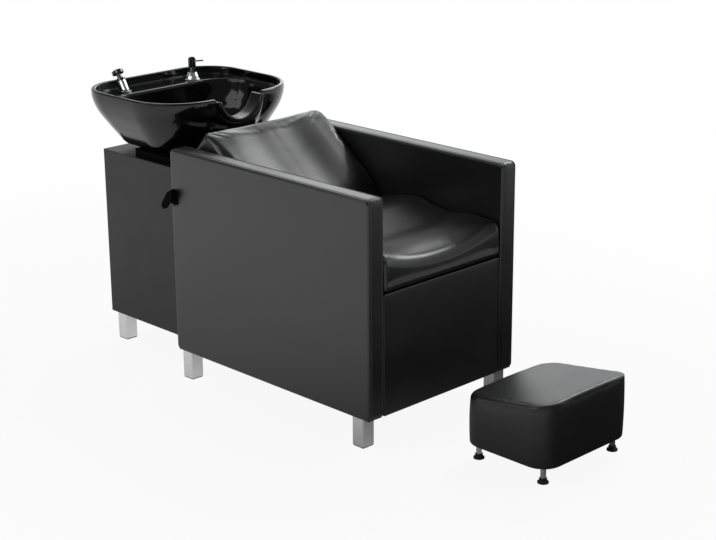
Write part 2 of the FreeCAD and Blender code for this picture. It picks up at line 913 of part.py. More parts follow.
screws = []
for sign in (-1, 1):
    for level in ("leg_height + service_screw_inset",
                  f"{service_top} - service_screw_inset"):
        place = (f"{sign} * ({INSIDE_HALF} - service_screw_inset)", CABINET_REAR, level)
        screws.append(rod(f"service_screw{len(screws)}", place,
                          "service_screw_radius", "service_screw_head", "Y"))
sub_part(group("service_screw_heads", screws), "service_panel_screws")


# Legs: square tubes with a threaded stud on top, closed by plastic glides

def make_leg(label, x, y):
    body = board(
        f"{label}_body", ("-leg_width / 2", "-leg_width / 2", "glide_height"),
        ("leg_width", "leg_width", "leg_height - glide_height"),
        "leg_corner", upright)
    sketch = sketch_on(body, f"{label}_space", "XY_Plane", "glide_height")
    rectangle(sketch, "-leg_width / 2 + leg_wall", "-leg_width / 2 + leg_wall",
              "leg_width - 2 * leg_wall", "leg_width - 2 * leg_wall")
    pocket(body, sketch, "leg_height - glide_height - leg_wall", reverse=True)
    return sub_part(body, label, x, y)


def leg_glide(number, x, y):
    side = "(leg_width - 2 * leg_wall - 2 * soft_gap)"
    foot = box(f"glide_foot{number}",
               (f"{x} - leg_width / 2 + leg_wall", f"{y} - leg_width / 2 + leg_wall", "0"),
               ("leg_width - 2 * leg_wall", "leg_width - 2 * leg_wall", "glide_height"))
    plug = box(f"glide_plug{number}", (f"{x} - {side} / 2", f"{y} - {side} / 2", "0"),
               (side, side, "glide_height + glide_plug"))
    return joined(f"glide{number}", [foot, plug])


arm_leg_x = f"({HALF} - leg_side_inset - leg_width / 2)"
cabinet_leg_x = f"({CABINET_HALF} - cabinet_leg_side_inset - leg_width / 2)"
leg_places = []
for side, sign in sides:
    leg_places += [
        (f"{side}_front_leg", f"{sign} * {arm_leg_x}",
         "(leg_front_inset + leg_width / 2)"),
        (f"{side}_rear_leg", f"{sign} * {arm_leg_x}",
         "(chair_length - leg_rear_inset - leg_width / 2)"),
        (f"{side}_cabinet_leg", f"{sign} * {cabinet_leg_x}",
         f"({CABINET_REAR} - cabinet_leg_rear_inset - leg_width / 2)"),
    ]
for label, x, y in leg_places:
    make_leg(label, x, y)
sub_part(
    group("glides", [leg_glide(n, x, y) for n, (label, x, y) in enumerate(leg_places)]),
    "leg_glides")


# Black base that carries the bowl's pivot, open to the rear for the waste pipe

base = new_body("bowl_base_body")
half_base = f"({CABINET_HALF} - base_side_inset)"
half_open = "base_opening_width / 2"
outline(sketch_on(base, "base_outline", "XY_Plane", CABINET_TOP), [
    (f"-{half_base}", "base_front_y"),
    (half_base, "base_front_y"),
    (half_base, "base_rear_y"),
    (half_open, "base_rear_y"),
    (half_open, "base_opening_front"),
    (f"-{half_open}", "base_opening_front"),
    (f"-{half_open}", "base_rear_y"),
    (f"-{half_base}", "base_rear_y"),
])
pad(base, doc.getObject("base_outline"), "base_height")
round_edges(
    base,
    lambda one, two: upright(one, two) and abs(one.x) > size(half_base) - TOUCH,
    "base_corner")
sub_part(base, "bowl_base")


def ear(name, x, low, high):
    """A bracket's ear: a strip with a round end, centred on the pivot."""
    strip = box(f"{name}_strip", (x, "pivot_y - ear_radius", low),
                ("ear_thickness", "2 * ear_radius", f"{high} - {low}"))
    end = rod(f"{name}_end", (x, "pivot_y", PIVOT_Z), "ear_radius", "ear_thickness", "X")
    return [strip, end]


def pivot_bore(name):
    reach = "(ear_spread + 3 * ear_thickness)"
    return rod(name, (f"-{reach}", "pivot_y", PIVOT_Z), "pivot_radius + shaft_gap",
               f"2 * {reach}", "X")


# Fixed bracket on the cabinet top, bracket below the bowl, and the pivot pin

lower = [
    box("lower_plate",
        ("-(base_opening_width / 2 - soft_gap)", "base_opening_front + soft_gap",
         CABINET_TOP),
        ("base_opening_width - 2 * soft_gap",
         "tail_slot_front - base_opening_front - 2 * soft_gap", "foot_plate")),
]
lower += ear("lower_near", "-ear_spread - ear_thickness", CABINET_TOP, PIVOT_Z)
lower += ear("lower_far", "ear_spread", CABINET_TOP, PIVOT_Z)
sub_part(cut("lower_bracket", joined("lower_form", lower), [pivot_bore("lower_bore")]),
         "tilt_bracket_fixed")

upper = [
    box("upper_plate",
        ("-(ear_spread - ear_thickness)", "pivot_y - ear_radius",
         "bowl_bottom_z - bowl_plate"),
        ("2 * (ear_spread - ear_thickness)", "bowl_plate_rear - pivot_y + ear_radius",
         "bowl_plate")),
]
ear_gap = "(ear_thickness / 4)"
upper += ear("upper_near", f"-ear_spread + {ear_gap}", PIVOT_Z, "bowl_bottom_z")
upper += ear("upper_far", f"ear_spread - ear_thickness - {ear_gap}", PIVOT_Z,
             "bowl_bottom_z")
sub_part(
    cut("upper_bracket", joined("upper_form", upper),
        [pivot_bore("upper_bore"),
         rod("upper_drain", ("0", "drain_y", "bowl_bottom_z - bowl_plate - overrun"),
             "drain_radius + slide_gap", "bowl_plate + 2 * overrun")]),
    "tilt_bracket_bowl")

pin_half = "(ear_spread + ear_thickness + soft_gap)"
sub_part(
    joined("pivot_form", [
        rod("pivot_bar", (f"-{pin_half}", "pivot_y", PIVOT_Z), "pivot_radius",
            f"2 * {pin_half}", "X"),
        rod("pivot_near_head", (f"-{pin_half} - pivot_head", "pivot_y", PIVOT_Z),
            "pivot_head_radius", "pivot_head", "X"),
        rod("pivot_far_head", (pin_half, "pivot_y", PIVOT_Z), "pivot_head_radius",
            "pivot_head", "X"),
    ]),
    "tilt_pin")


# Bowl: an outer shell with a rear deck for the taps, a basin and a neck recess

def rounded_section(half, front, rear, corner, front_corner, height):
    """A rectangle with rounded corners, wider ones at the front, at one height."""
    def bend(x, y, radius, toward_x, toward_y):
        near = radius * QUARTER_SHARE
        return point(x - toward_x * near, y - toward_y * near, height)

    broad, tight = front_corner, corner
    starts = [
        (point(broad - half, front, height), point(half - broad, front, height),
         bend(half, front, broad, 1, -1)),
        (point(half, front + broad, height), point(half, rear - tight, height),
         bend(half, rear, tight, 1, 1)),
        (point(half - tight, rear, height), point(tight - half, rear, height),
         bend(-half, rear, tight, -1, 1)),
        (point(-half, rear - tight, height), point(-half, front + broad, height),
         bend(-half, front, broad, -1, -1)),
    ]
    edges = []
    for number, (start, end, middle) in enumerate(starts):
        follower = starts[(number + 1) % len(starts)][0]
        edges.append(Part.LineSegment(start, end).toShape())
        edges.append(Part.Arc(end, middle, follower).toShape())
    return Part.Wire(edges)


def bowl_sections(grow):
    """Sections of the bowl's outside, moved out by a given amount."""
    half, depth = size("bowl_width / 2"), size("bowl_rear_y - bowl_front_y")
    rise, corner = size("bowl_rim_z - bowl_bottom_z"), size("rim_corner")
    sections = []
    for height, wide, front, rear, round_share in BOWL_SHARES:
        sections.append(rounded_section(
            wide * half + grow,
            size("bowl_front_y") + front * depth - grow,
            size("bowl_rear_y") - rear * depth + grow,
            round_share * corner + grow,
            FRONT_CORNER_SHARE * round_share * corner + grow,
            size("bowl_bottom_z") + height * rise))
    return sections


def basin_sections(grow):
    """Sections of the basin from its floor to the deck, moved out by an amount."""
    half = size("bowl_width / 2 - basin_side_inset")
    first = size("bowl_front_y + basin_front_inset")
    last = size("bowl_rear_y - basin_rear_inset")
    low, rise = size(FLOOR_Z), size(DECK_Z) - size(FLOOR_Z)
    corner = size("rim_corner")
    sections = []
    for height, wide, front, rear, round_share in BASIN_SHARES:
        sections.append(rounded_section(
            wide * half + grow,
            first + front * (last - first) - grow,
            last - rear * (last - first) + grow,
            round_share * corner + grow,
            FRONT_CORNER_SHARE * round_share * corner + grow,
            low + height * rise))
    return sections


def loft(sections):
    return Part.makeLoft(sections, True, False)


def rim_tray():
    """The shallow recess inside the rim, down to the deck that carries the taps."""
    half, inset = size("bowl_width / 2"), size("rim_width")
    corner = size("rim_corner") - inset
    sections = [
        rounded_section(
            half - inset, size("bowl_front_y") + inset, size("bowl_rear_y") - inset,
            corner, FRONT_CORNER_SHARE * size("rim_corner") - inset, height)
        for height in (size(DECK_Z), size("bowl_rim_z + overrun"))
    ]
    return Part.makeLoft(sections, True, True)


def deck_space():
    """The hollow below the deck, open underneath for the taps' nuts and hoses."""
    wall = size("bowl_wall")
    inside = loft(bowl_sections(-wall))
    half = size("tap_spread + basin_rear_inset / 2")
    start = size("bowl_rear_y - 2 * basin_rear_inset")
    low, high = size("bowl_bottom_z - overrun"), size(f"{DECK_Z} - deck_thickness")
    frame = Part.makeBox(
        2 * half, size("bowl_rear_y") - start, high - low, point(-half, start, low))
    lowest = bowl_sections(-wall)[0]
    lowest.translate(point(0, 0, -size("overrun")))
    way_out = Part.Face(lowest).extrude(point(0, 0, size("overrun + basin_floor")))
    basin_foot = basin_sections(wall)[0]
    basin_foot.translate(point(0, 0, -size("overrun + basin_floor")))
    block = Part.Face(basin_foot).extrude(point(0, 0, size("2 * (overrun + basin_floor)")))
    solid = loft(basin_sections(wall)).fuse(block)
    return inside.common(frame).fuse(way_out.common(frame)).cut(solid)


def neck_cylinder(radius, start, length):
    middle = size("bowl_rim_z - neck_depth + neck_radius")
    return Part.makeCylinder(
        radius, length, point(0, start, middle), point(0, 1, 0))


def bowl_shell():
    form = loft(bowl_sections(0))
    form = form.cut(rim_tray())
    form = form.cut(loft(basin_sections(0)))
    form = form.cut(deck_space())
    reach = size("bowl_rear_y - bowl_front_y") / 2
    form = form.cut(neck_cylinder(
        size("neck_radius"), size("bowl_front_y - overrun"), reach))
    holes = [(0, size("drain_y"), size("drain_radius + slide_gap"))]
    for sign in (-1, 1):
        holes.append((sign * size("tap_spread"), size("tap_y"),
                      size("tap_shank_radius + slide_gap")))
    low = size("bowl_bottom_z - overrun")
    tall = size("bowl_rim_z") - low
    for x, y, radius in holes:
        start = low if x == 0 else size(f"{DECK_Z} - deck_thickness - overrun")
        form = form.cut(Part.makeCylinder(radius, tall, point(x, y, start)))
    return form


shaped("bowl_shell", bowl_shell())


def neck_rest():
    """A soft saddle that lines the neck recess and stands forward of the bowl."""
    outer = size("neck_radius - soft_gap")
    start, width = size("bowl_front_y - neck_pad_forward"), size("neck_pad_width")
    ring = neck_cylinder(outer, start, width).cut(
        neck_cylinder(outer - size("neck_pad"), start, width))
    top = size("bowl_rim_z - neck_pad_drop")
    low = size("bowl_rim_z - neck_depth - overrun")
    frame = Part.makeBox(2 * outer, width, top - low, point(-outer, start, low))
    return ring.common(frame)


shaped("neck_rest", neck_rest())


# Waste: drain body, lift-out strainer, nut and tail pipe

mouth = "(strainer_radius + soft_gap)"
drain = turned("drain_form", [
    ("drain_bore", "-drain_length"),
    ("drain_radius", "-drain_length"),
    ("drain_radius", "0"),
    ("drain_flange", "0"),
    (mouth, "drain_flange_height"),
    (mouth, "drain_flange_height - strainer_height"),
    ("drain_bore", "drain_flange_height - strainer_height"),
])
sub_part(drain, "drain_body", "0", "drain_y", FLOOR_Z)

strainer = new_body("strainer_form")
sketch = sketch_on(strainer, "strainer_outline", "XY_Plane")
circle(sketch, "0", "0", "strainer_radius")
pad(strainer, sketch, "strainer_height")
sketch = sketch_on(strainer, "strainer_hole", "XY_Plane", "strainer_height + overrun")
circle(sketch, "strainer_ring", "0", "strainer_hole")
hole = pocket(strainer, sketch, "strainer_height + 2 * overrun")
pattern = strainer.newObject("PartDesign::PolarPattern", "strainer_pattern")
pattern.Originals = [hole]
pattern.Axis = (sketch, ["N_Axis"])
pattern.Angle = 360
pattern.Occurrences = STRAINER_HOLES
strainer.Tip = pattern
doc.recompute()
sub_part(strainer, "drain_strainer", "0", "drain_y",
         f"{FLOOR_Z} + drain_flange_height - strainer_height + soft_gap")

drain_nut = turned("drain_nut_form", [
    ("drain_radius", "-nut_height"), ("nut_radius", "-nut_height"),
    ("nut_radius", "0"), ("drain_radius", "0"),
])
sub_part(drain_nut, "drain_nut", "0", "drain_y", "bowl_bottom_z - bowl_plate")

tail = turned("tail_form", [
    ("tail_bore", "-tail_length"), ("tail_radius", "-tail_length"),
    ("tail_radius", "0"), ("tail_bore", "0"),
])
sub_part(tail, "waste_tail", "0", "drain_y", f"{FLOOR_Z} - drain_length")


# Mixer tap: flange, body with its shank, turning cap and lifting lever

mixer_place = ("tap_spread", "tap_y", DECK_Z)
flange = turned("mixer_flange_form", [
    ("mixer_radius", "0"),
    ("mixer_flange_radius", "0"),
    ("mixer_flange_radius", "mixer_flange_height / 2"),
    ("mixer_flange_radius - mixer_flange_height / 2", "mixer_flange_height"),
    ("(mixer_radius + mixer_flange_radius) / 2", "mixer_flange_height * 3"),
    ("mixer_radius + mixer_flange_height / 3", "mixer_flange_height + mixer_skirt_height"),
    ("mixer_radius", "mixer_flange_height + mixer_skirt_height"),
])
sub_part(flange, "mixer_flange", *mixer_place)

mixer = turned("mixer_body_form", [
    ("0", "-tap_shank_length"),
    ("tap_shank_radius", "-tap_shank_length"),
    ("tap_shank_radius", "0"),
    ("mixer_radius", "0"),
    ("mixer_radius", "mixer_height"),
    ("0", "mixer_height"),
])
sub_part(mixer, "mixer_body", *mixer_place)

cap = turned("mixer_cap_form", [
    ("0", "0"),
    ("mixer_radius", "0"),
    ("mixer_radius", "mixer_cap_height - mixer_cap_dome"),
    ("mixer_radius - mixer_cap_dome / 2", "mixer_cap_height - mixer_cap_dome / 4"),
    ("mixer_radius - mixer_cap_dome", "mixer_cap_height"),
    ("0", "mixer_cap_height"),
])
sketch = sketch_on(cap, "mixer_slot_outline", "XY_Plane", "mixer_cap_height + overrun")
rectangle(sketch, "-mixer_slot / 2", "-mixer_radius - overrun", "mixer_slot",
          "mixer_radius + overrun + mixer_hub_radius + slide_gap")
pocket(cap, sketch,
       "mixer_cap_height + overrun - mixer_hub_rise + mixer_hub_radius + slide_gap")
sub_part(cap, "mixer_cap", "tap_spread", "tap_y",
         f"{DECK_Z} + mixer_height + soft_gap")


def mixer_lever():
    """A round hub with a flat handle that rises a little towards its tip."""
    wide = size("mixer_slot - 2 * slide_gap")
    hub = Part.makeCylinder(
        size("mixer_hub_radius"), wide, point(-wide / 2, 0, 0), point(1, 0, 0))
    reach, rise = size("mixer_lever_length"), size("mixer_lever_rise")
    half = size("mixer_lever_thickness") / 2
    profile = Part.makePolygon([
        point(0, 0, -half), point(0, -reach, rise - half), point(0, -reach, rise + half),
        point(0, 0, half), point(0, 0, -half)])
    across = size("mixer_lever_width")
    handle = Part.Face(profile).extrude(point(across, 0, 0))
    handle.translate(point(-across / 2, 0, 0))
    form = hub.fuse(handle).removeSplitter()
    form.translate(point(
        size("tap_spread"), size("tap_y"),
        size(f"{DECK_Z} + mixer_height + soft_gap + mixer_hub_rise")))
    return form


shaped("mixer_lever", mixer_lever())


# Hand shower: a holder that leans to the rear, the handset and its spray face

def leaning(shape, lift):
    """Carries a shape made upright on to the holder's axis, a way above its foot."""
    shape.translate(point(0, 0, lift))
    shape.rotate(point(0, 0, 0), point(1, 0, 0), -size("holder_lean_angle"))
    shape.translate(point(
        -size("tap_spread"), size("tap_y"), size(f"{DECK_Z} + holder_lift")))
    return shape


def shower_holder():
    deck = size(DECK_Z)
    x, y = -size("tap_spread"), size("tap_y")
    radius = size("holder_radius")
    foot = Part.makeCylinder(
        size("holder_flange"), size("holder_flange_height"), point(x, y, deck))
    shank = Part.makeCylinder(
        size("tap_shank_radius"), size("tap_shank_length"),
        point(x, y, deck - size("tap_shank_length")))
    collar = leaning(Part.makeCylinder(radius, size("holder_length")), 0)
    ball = Part.makeSphere(radius, point(x, y, size(f"{DECK_Z} + holder_lift")))
    above = Part.makeBox(
        4 * radius, 4 * radius, 4 * radius, point(x - 2 * radius, y - 2 * radius, deck))
    form = foot.fuse([shank, collar.fuse(ball).common(above)]).removeSplitter()
    bore = leaning(
        Part.makeCylinder(size("handset_radius + soft_gap"), size("handset_seat + overrun")),
        size("holder_length - handset_seat"))
    return form.cut(bore)


shaped("shower_holder", shower_holder())


def turned_profile(points):
    """A solid turned about Z from a profile of radius and height."""
    places = [point(across, 0, up) for across, up in points]
    face = Part.Face(Part.makePolygon(places + places[:1]))
    return face.revolve(point(0, 0, 0), point(0, 0, 1), 360)


def hand_shower():
    grip, collar = size("handset_radius"), size("handset_collar_radius")
    neck, head = size("handset_neck_radius"), size("handset_head_radius")
    seat = size("handset_seat")
    low = seat + size("soft_gap")
    waist = low + size("handset_collar")
    under = waist + size("handset_neck")
    top = under + size("handset_head")
    form = turned_profile([
        (0, size("soft_gap")), (grip, size("soft_gap")), (grip, low), (collar, low),
        (collar, waist), (neck, waist), (neck, under), (head, under), (head, top),
        (0, top),
    ])
    return leaning(form, size("holder_length") - seat)


def spray_face():
    start = size(
        "holder_length + soft_gap + handset_collar + handset_neck + handset_head")
    return leaning(
        Part.makeCylinder(size("spray_face_radius"), size("spray_face")), start)


shaped("hand_shower", hand_shower())
shaped("spray_face", spray_face())

nuts = []
for sign in (-1, 1):
    ring = turned(f"tap_nut{len(nuts)}", [
        ("tap_shank_radius", "-nut_height"),
        ("tap_shank_radius * 2", "-nut_height"),
        ("tap_shank_radius * 2", "0"),
        ("tap_shank_radius", "0"),
    ])
    nuts.append(stand(ring, f"{sign} * tap_spread", "tap_y",
                      f"{DECK_Z} - deck_thickness"))
sub_part(group("tap_nuts", nuts), "deck_nuts")


# Footstool: an upholstered block on a board, four stems and four swivel feet

def stool_block(height, inset):
    """A block on the stool's foot line with rounded corners, set in at its sides."""
    half, corner = size("stool_width / 2") - inset, size("stool_corner") - inset
    section = rounded_section(
        half, size(STOOL_FRONT) + inset, size("stool_rear_y") - inset, corner, corner,
        size("stool_bottom"))
    block = Part.Face(section).extrude(point(0, 0, height))
    block.translate(point(size("stool_x"), 0, 0))
    return block


def stool_cushion():
    """The padded wedge: a crowned top that rises to the front, over its board's space."""
    half, deep, rise = size("stool_width / 2"), size("stool_depth / 2"), size("stool_crown")
    high, low = size("stool_front_top"), size("stool_rear_top")
    slope = math.atan2(high - low, 2 * deep)
    arch = deep * deep / (2 * rise) + rise / 2
    top = point(size("stool_x") - half, size(STOOL_FRONT) + deep, (high + low) / 2)
    middle = top - point(0, math.sin(slope), math.cos(slope)) * (arch - rise)
    crown = Part.makeCylinder(arch, 2 * half, middle, point(1, 0, 0))
    form = stool_block(high + rise - size("stool_bottom"), 0).common(crown)
    floor = size("stool_bottom")
    rim = [edge for edge in form.Edges if edge.BoundBox.ZMin > (floor + low) / 2]
    form = form.makeFillet(size("stool_edge"), rim)
    foot = [edge for edge in form.Edges if edge.BoundBox.ZMax < floor + TOUCH]
    form = form.makeFillet(size("stool_edge / 4"), foot)
    return form.cut(stool_block(size("stool_board"), size("stool_board_inset")))


stem_places = []
for name, y in (("front", f"({STOOL_FRONT} + stem_inset)"),
                ("rear", "(stool_rear_y - stem_inset)")):
    for side, sign in sides:
        x = f"(stool_x + {sign} * (stool_width / 2 - stem_inset))"
        stem_places.append((f"stool_foot_{name}_{side}", x, y))

shaped("stool_cushion", stool_cushion())
block = stool_block(size("stool_board"), size("stool_board_inset"))
for label, x, y in stem_places:
    block = block.cut(Part.makeCylinder(
        size("stem_radius"), size("stool_board"),
        point(size(x), size(y), size("stool_bottom"))))
shaped("stool_board", block)

stems = [
    rod(f"stem{number}", (x, y, "disc_height + soft_gap"), "stem_radius",
        "stool_bottom + stool_board - disc_height - soft_gap")
    for number, (label, x, y) in enumerate(stem_places)
]
sub_part(group("stems", stems), "stool_stems")

for label, x, y in stem_places:
    foot = turned(f"{label}_form", [
        ("0", "0"),
        ("disc_radius", "0"),
        ("disc_radius", "disc_height / 2"),
        ("disc_hub_radius", "disc_height"),
        ("disc_hub_radius", "disc_height + disc_hub_height"),
        ("stem_radius + shaft_gap", "disc_height + disc_hub_height"),
        ("stem_radius + shaft_gap", "disc_height"),
        ("0", "disc_height"),
    ])
    sub_part(foot, label, x, y)


# Checks and files

doc.recompute()
faults = []
for thing in doc.Objects:
    if {"Invalid", "Error"} & set(thing.State):
        faults.append(f"{thing.Name} is {thing.State}")
for thing in sub_parts:
    if thing.Shape.isNull() or not thing.Shape.isValid() or not thing.Shape.Solids:
        faults.append(f"{thing.Label} has no valid solid")
if faults:
    raise RuntimeError("; ".join(faults))

os.makedirs("parts", exist_ok=True)
for thing in sub_parts:
    thing.Shape.exportStep(f"parts/{thing.Label}.step")
print(len(sub_parts), "sub-parts written")
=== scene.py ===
"""Looks of a hair washing bed: padded chair, cabinet, glossy bowl, taps and footstool."""
import logging
import math
from dataclasses import dataclass, field
from enum import Enum
from typing import Callable, Iterator, Optional, Sequence

import bmesh
import bpy
import numpy as np
from mathutils import Matrix, Vector


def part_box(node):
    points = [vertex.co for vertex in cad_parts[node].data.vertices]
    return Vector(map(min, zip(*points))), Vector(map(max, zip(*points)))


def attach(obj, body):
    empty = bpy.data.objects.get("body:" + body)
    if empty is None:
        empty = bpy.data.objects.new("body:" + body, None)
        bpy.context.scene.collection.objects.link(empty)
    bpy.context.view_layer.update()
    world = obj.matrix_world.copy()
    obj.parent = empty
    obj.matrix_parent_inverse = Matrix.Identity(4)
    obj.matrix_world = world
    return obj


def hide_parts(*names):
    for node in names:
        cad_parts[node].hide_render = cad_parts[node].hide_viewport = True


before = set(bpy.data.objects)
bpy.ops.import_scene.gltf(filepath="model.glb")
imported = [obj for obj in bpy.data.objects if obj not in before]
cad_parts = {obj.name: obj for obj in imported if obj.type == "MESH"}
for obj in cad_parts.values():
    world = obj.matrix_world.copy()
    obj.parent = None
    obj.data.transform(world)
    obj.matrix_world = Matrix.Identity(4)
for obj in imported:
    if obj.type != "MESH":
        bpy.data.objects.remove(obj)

Array = np.ndarray
Triple = tuple[float, float, float]
Socket = bpy.types.NodeSocket
LOG = logging.getLogger("washing_bed")
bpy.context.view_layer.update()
MIDDLE_X = 0.01065          # the chair's middle plane in the row frame
FRONT_Y = -0.4275           # the chair's front plane in the row frame
BLACK = (0.0080, 0.0080, 0.0083)
CLOTH_SLOT = "black_upholstery"
RIGHT_ANGLE = np.pi / 2
RUN_ENDS = 0.35             # how far an outline's points draw towards its corners
FACE_ENDS = 0.2             # how far a face's rings draw towards its edge


# Shader maths

class Shade:
    """A socket that takes part in arithmetic: each operation adds one Math node."""

    def __init__(self, tree: "Tree", socket: Socket) -> None:
        """Keeps the socket and the tree that it belongs to.

        Args:
            tree: the node tree.
            socket: an output socket that carries one value.
        """
        self.tree = tree
        self.socket = socket

    def math(self, operation: str, *others: "Shade | float", swap: bool = False,
             clamp: bool = False) -> "Shade":
        """Adds a Math node on this value and the others.

        Args:
            operation: the node's operation.
            others: further operands, shades or numbers.
            swap: whether the others stand before this one.
            clamp: whether the result stays between 0 and 1.

        Returns:
            The result as a new value.
        """
        operands = [*others, self] if swap else [self, *others]
        return self.tree.value("ShaderNodeMath", 0,
                               {"operation": operation, "use_clamp": clamp},
                               dict(enumerate(operands)))

    def __add__(self, other: "Shade | float") -> "Shade":
        """Sum."""
        return self.math("ADD", other)

    __radd__ = __add__

    def __sub__(self, other: "Shade | float") -> "Shade":
        """Difference."""
        return self.math("SUBTRACT", other)

    def __rsub__(self, other: "Shade | float") -> "Shade":
        """Difference with this value last."""
        return self.math("SUBTRACT", other, swap=True)

    def __mul__(self, other: "Shade | float") -> "Shade":
        """Product."""
        return self.math("MULTIPLY", other)

    __rmul__ = __mul__

    def __truediv__(self, other: "Shade | float") -> "Shade":
        """Quotient."""
        return self.math("DIVIDE", other)

    def __rtruediv__(self, other: "Shade | float") -> "Shade":
        """Quotient with this value last."""
        return self.math("DIVIDE", other, swap=True)

    def held(self) -> "Shade":
        """The same value, kept between 0 and 1."""
        return self.math("ADD", 0.0, clamp=True)

    def above(self, low: float, high: float) -> "Shade":
        """Rises from 0 at low to 1 at high, and stays between them."""
        return ((self - low) / (high - low)).held()


class Tree:
    """A node tree, with the only method that adds nodes to it."""

    def __init__(self, tree: bpy.types.NodeTree) -> None:
        """Empties the tree and keeps it.

        Args:
            tree: the node tree of a material or of the world.
        """
        self.tree = tree
        tree.nodes.clear()

    def feed(self, entry: Socket, value: object) -> None:
        """Links an input to a shade or a socket, or sets it to a plain value.

        Args:
            entry: the input.
            value: the shade, the socket or the plain value.
        """
        source = value.socket if isinstance(value, Shade) else value
        if isinstance(source, Socket):
            self.tree.links.new(source, entry)
        else:
            entry.default_value = source

    def node(self, kind: str, settings: Optional[dict] = None,
             inputs: Optional[dict] = None) -> bpy.types.Node:
        """Adds one node.

        Args:
            kind: the node's type.
            settings: attributes of the node, which are set first.
            inputs: shades, sockets or plain values by the input's name or number.

        Returns:
            The new node.
        """
        made = self.tree.nodes.new(kind)
        for name, value in (settings or {}).items():
            setattr(made, name, value)
        for name, value in (inputs or {}).items():
            self.feed(made.inputs[name], value)
        return made

    def value(self, kind: str, output: str | int, settings: Optional[dict] = None,
              inputs: Optional[dict] = None) -> Shade:
        """The value at one output of a new node, which is added as node does."""
        return Shade(self, self.node(kind, settings, inputs).outputs[output])

    def vector(self, operation: str, *operands: Socket | Triple) -> bpy.types.Node:
        """A Vector Math node on the operands."""
        return self.node("ShaderNodeVectorMath", {"operation": operation},
                         dict(enumerate(operands)))


class Skin(Tree):
    """A material's node tree, with a principled surface."""

    def __init__(self, name: str) -> None:
        """Makes a material with a principled surface.

        Args:
            name: the material's name.
        """
        self.material = bpy.data.materials.new(name)
        self.material.use_nodes = True
        super().__init__(self.material.node_tree)
        self.surface = self.node("ShaderNodeBsdfPrincipled")
        self.output = self.node("ShaderNodeOutputMaterial",
                                inputs={"Surface": self.surface.outputs[0]})

    def place(self) -> Socket:
        """The object coordinates."""
        return self.node("ShaderNodeTexCoord").outputs["Object"]

    def stretched(self, scale: Triple) -> Socket:
        """The object coordinates, multiplied by a factor along each axis."""
        return self.node("ShaderNodeMapping", inputs={
            "Vector": self.place(), "Scale": scale}).outputs[0]

    def noise(self, scale: float, detail: float = 2.0, rough: float = 0.5,
              place: Optional[Socket] = None) -> Shade:
        """Fractal noise between 0 and 1.

        Args:
            scale: waves per metre.
            detail: the number of finer layers.
            rough: how strong the finer layers are.
            place: where it is read, by default the object coordinates.

        Returns:
            The noise as a value.
        """
        return self.value("ShaderNodeTexNoise", 0, inputs={
            "Vector": place or self.place(), "Scale": scale, "Detail": detail,
            "Roughness": rough})

    def cells(self, scale: float) -> Shade:
        """The distance to the nearest of many scattered points, scale of them a metre."""
        return self.value("ShaderNodeTexVoronoi", "Distance", inputs={
            "Vector": self.place(), "Scale": scale})

    def attribute(self, name: str) -> Shade:
        """A value that the mesh keeps at its points."""
        return self.value("ShaderNodeAttribute", "Fac", {"attribute_name": name})

    def blend(self, amount: Shade, low: Triple, high: Triple) -> Socket:
        """A colour from low where the amount is 0 to high where it is 1."""
        return self.node("ShaderNodeMix", {"data_type": "RGBA"}, {
            "Factor": amount, 6: (*low, 1.0), 7: (*high, 1.0)}).outputs[2]

    def relief(self, height: Shade, depth: float, strength: float = 1.0) -> None:
        """Feeds a height to the surface's normal.

        Args:
            height: the height, in shares of the depth.
            depth: how high 1 is, in metres.
            strength: the strength of the relief.
        """
        bump = self.node("ShaderNodeBump", inputs={
            "Height": height, "Distance": depth, "Strength": strength})
        self.feed(self.surface.inputs["Normal"], bump.outputs[0])

    def dress(self, **values: object) -> None:
        """Feeds the surface's inputs; an underscore stands for a space in a name."""
        for name, value in values.items():
            self.feed(self.surface.inputs[name.replace("_", " ")], value)


# Finishes

@dataclass(frozen=True)
class Upholstery:
    """Black coated cloth with a fine grain, stitches along its seams, and painted shade in the
    fold of each seam.

    The stitches stand one stitch length beside the fold of a seam, and a thread fades
    out between its two half widths.
    """
    name: str
    rough: float
    level: float
    grain: float = 900.0
    grain_depth: float = 0.00016
    colour: Triple = BLACK
    lift: Triple = (0.0120, 0.0120, 0.0124)
    stitch: float = 0.0042
    thread: tuple[float, float] = (0.0003, 0.0009)
    fold: float = 0.0022

    def make(self) -> bpy.types.Material:
        """Builds the material.

        Returns:
            The material.
        """
        skin = Skin(self.name)
        grain = skin.cells(self.grain)
        pores = skin.noise(self.grain * 1.7, detail=3.0, rough=0.6)
        cloud = skin.noise(9.0, detail=3.0, rough=0.55)
        seam = skin.attribute("seam")
        wave = (skin.attribute("thread") * (2 * math.pi / self.stitch)).math("SINE")
        beside = 1.0 - (seam - self.stitch).math("ABSOLUTE").above(*self.thread)
        stitches = wave.above(-0.25, 0.25) * beside
        # painted shade: the colour darkens in the fold of each seam, beside the groove of the
        # relief
        fold = 1.0 - seam.above(0.0, self.fold)
        # random mottle and lighter stitches, less the painted shade in the seam folds
        tone_and_seam_shade = (cloud.above(0.3, 0.75) * 0.7 + stitches * 0.5 - fold * 0.6).held()
        skin.dress(Base_Color=skin.blend(tone_and_seam_shade, self.colour, self.lift),
                   Roughness=(cloud - 0.5) * 0.10 + (grain - 0.4) * 0.10 + self.rough,
                   Specular_IOR_Level=self.level)
        skin.relief(grain * 0.7 + pores * 0.3 + stitches * 1.6 - fold * 1.4,
                    self.grain_depth)
        return skin.material


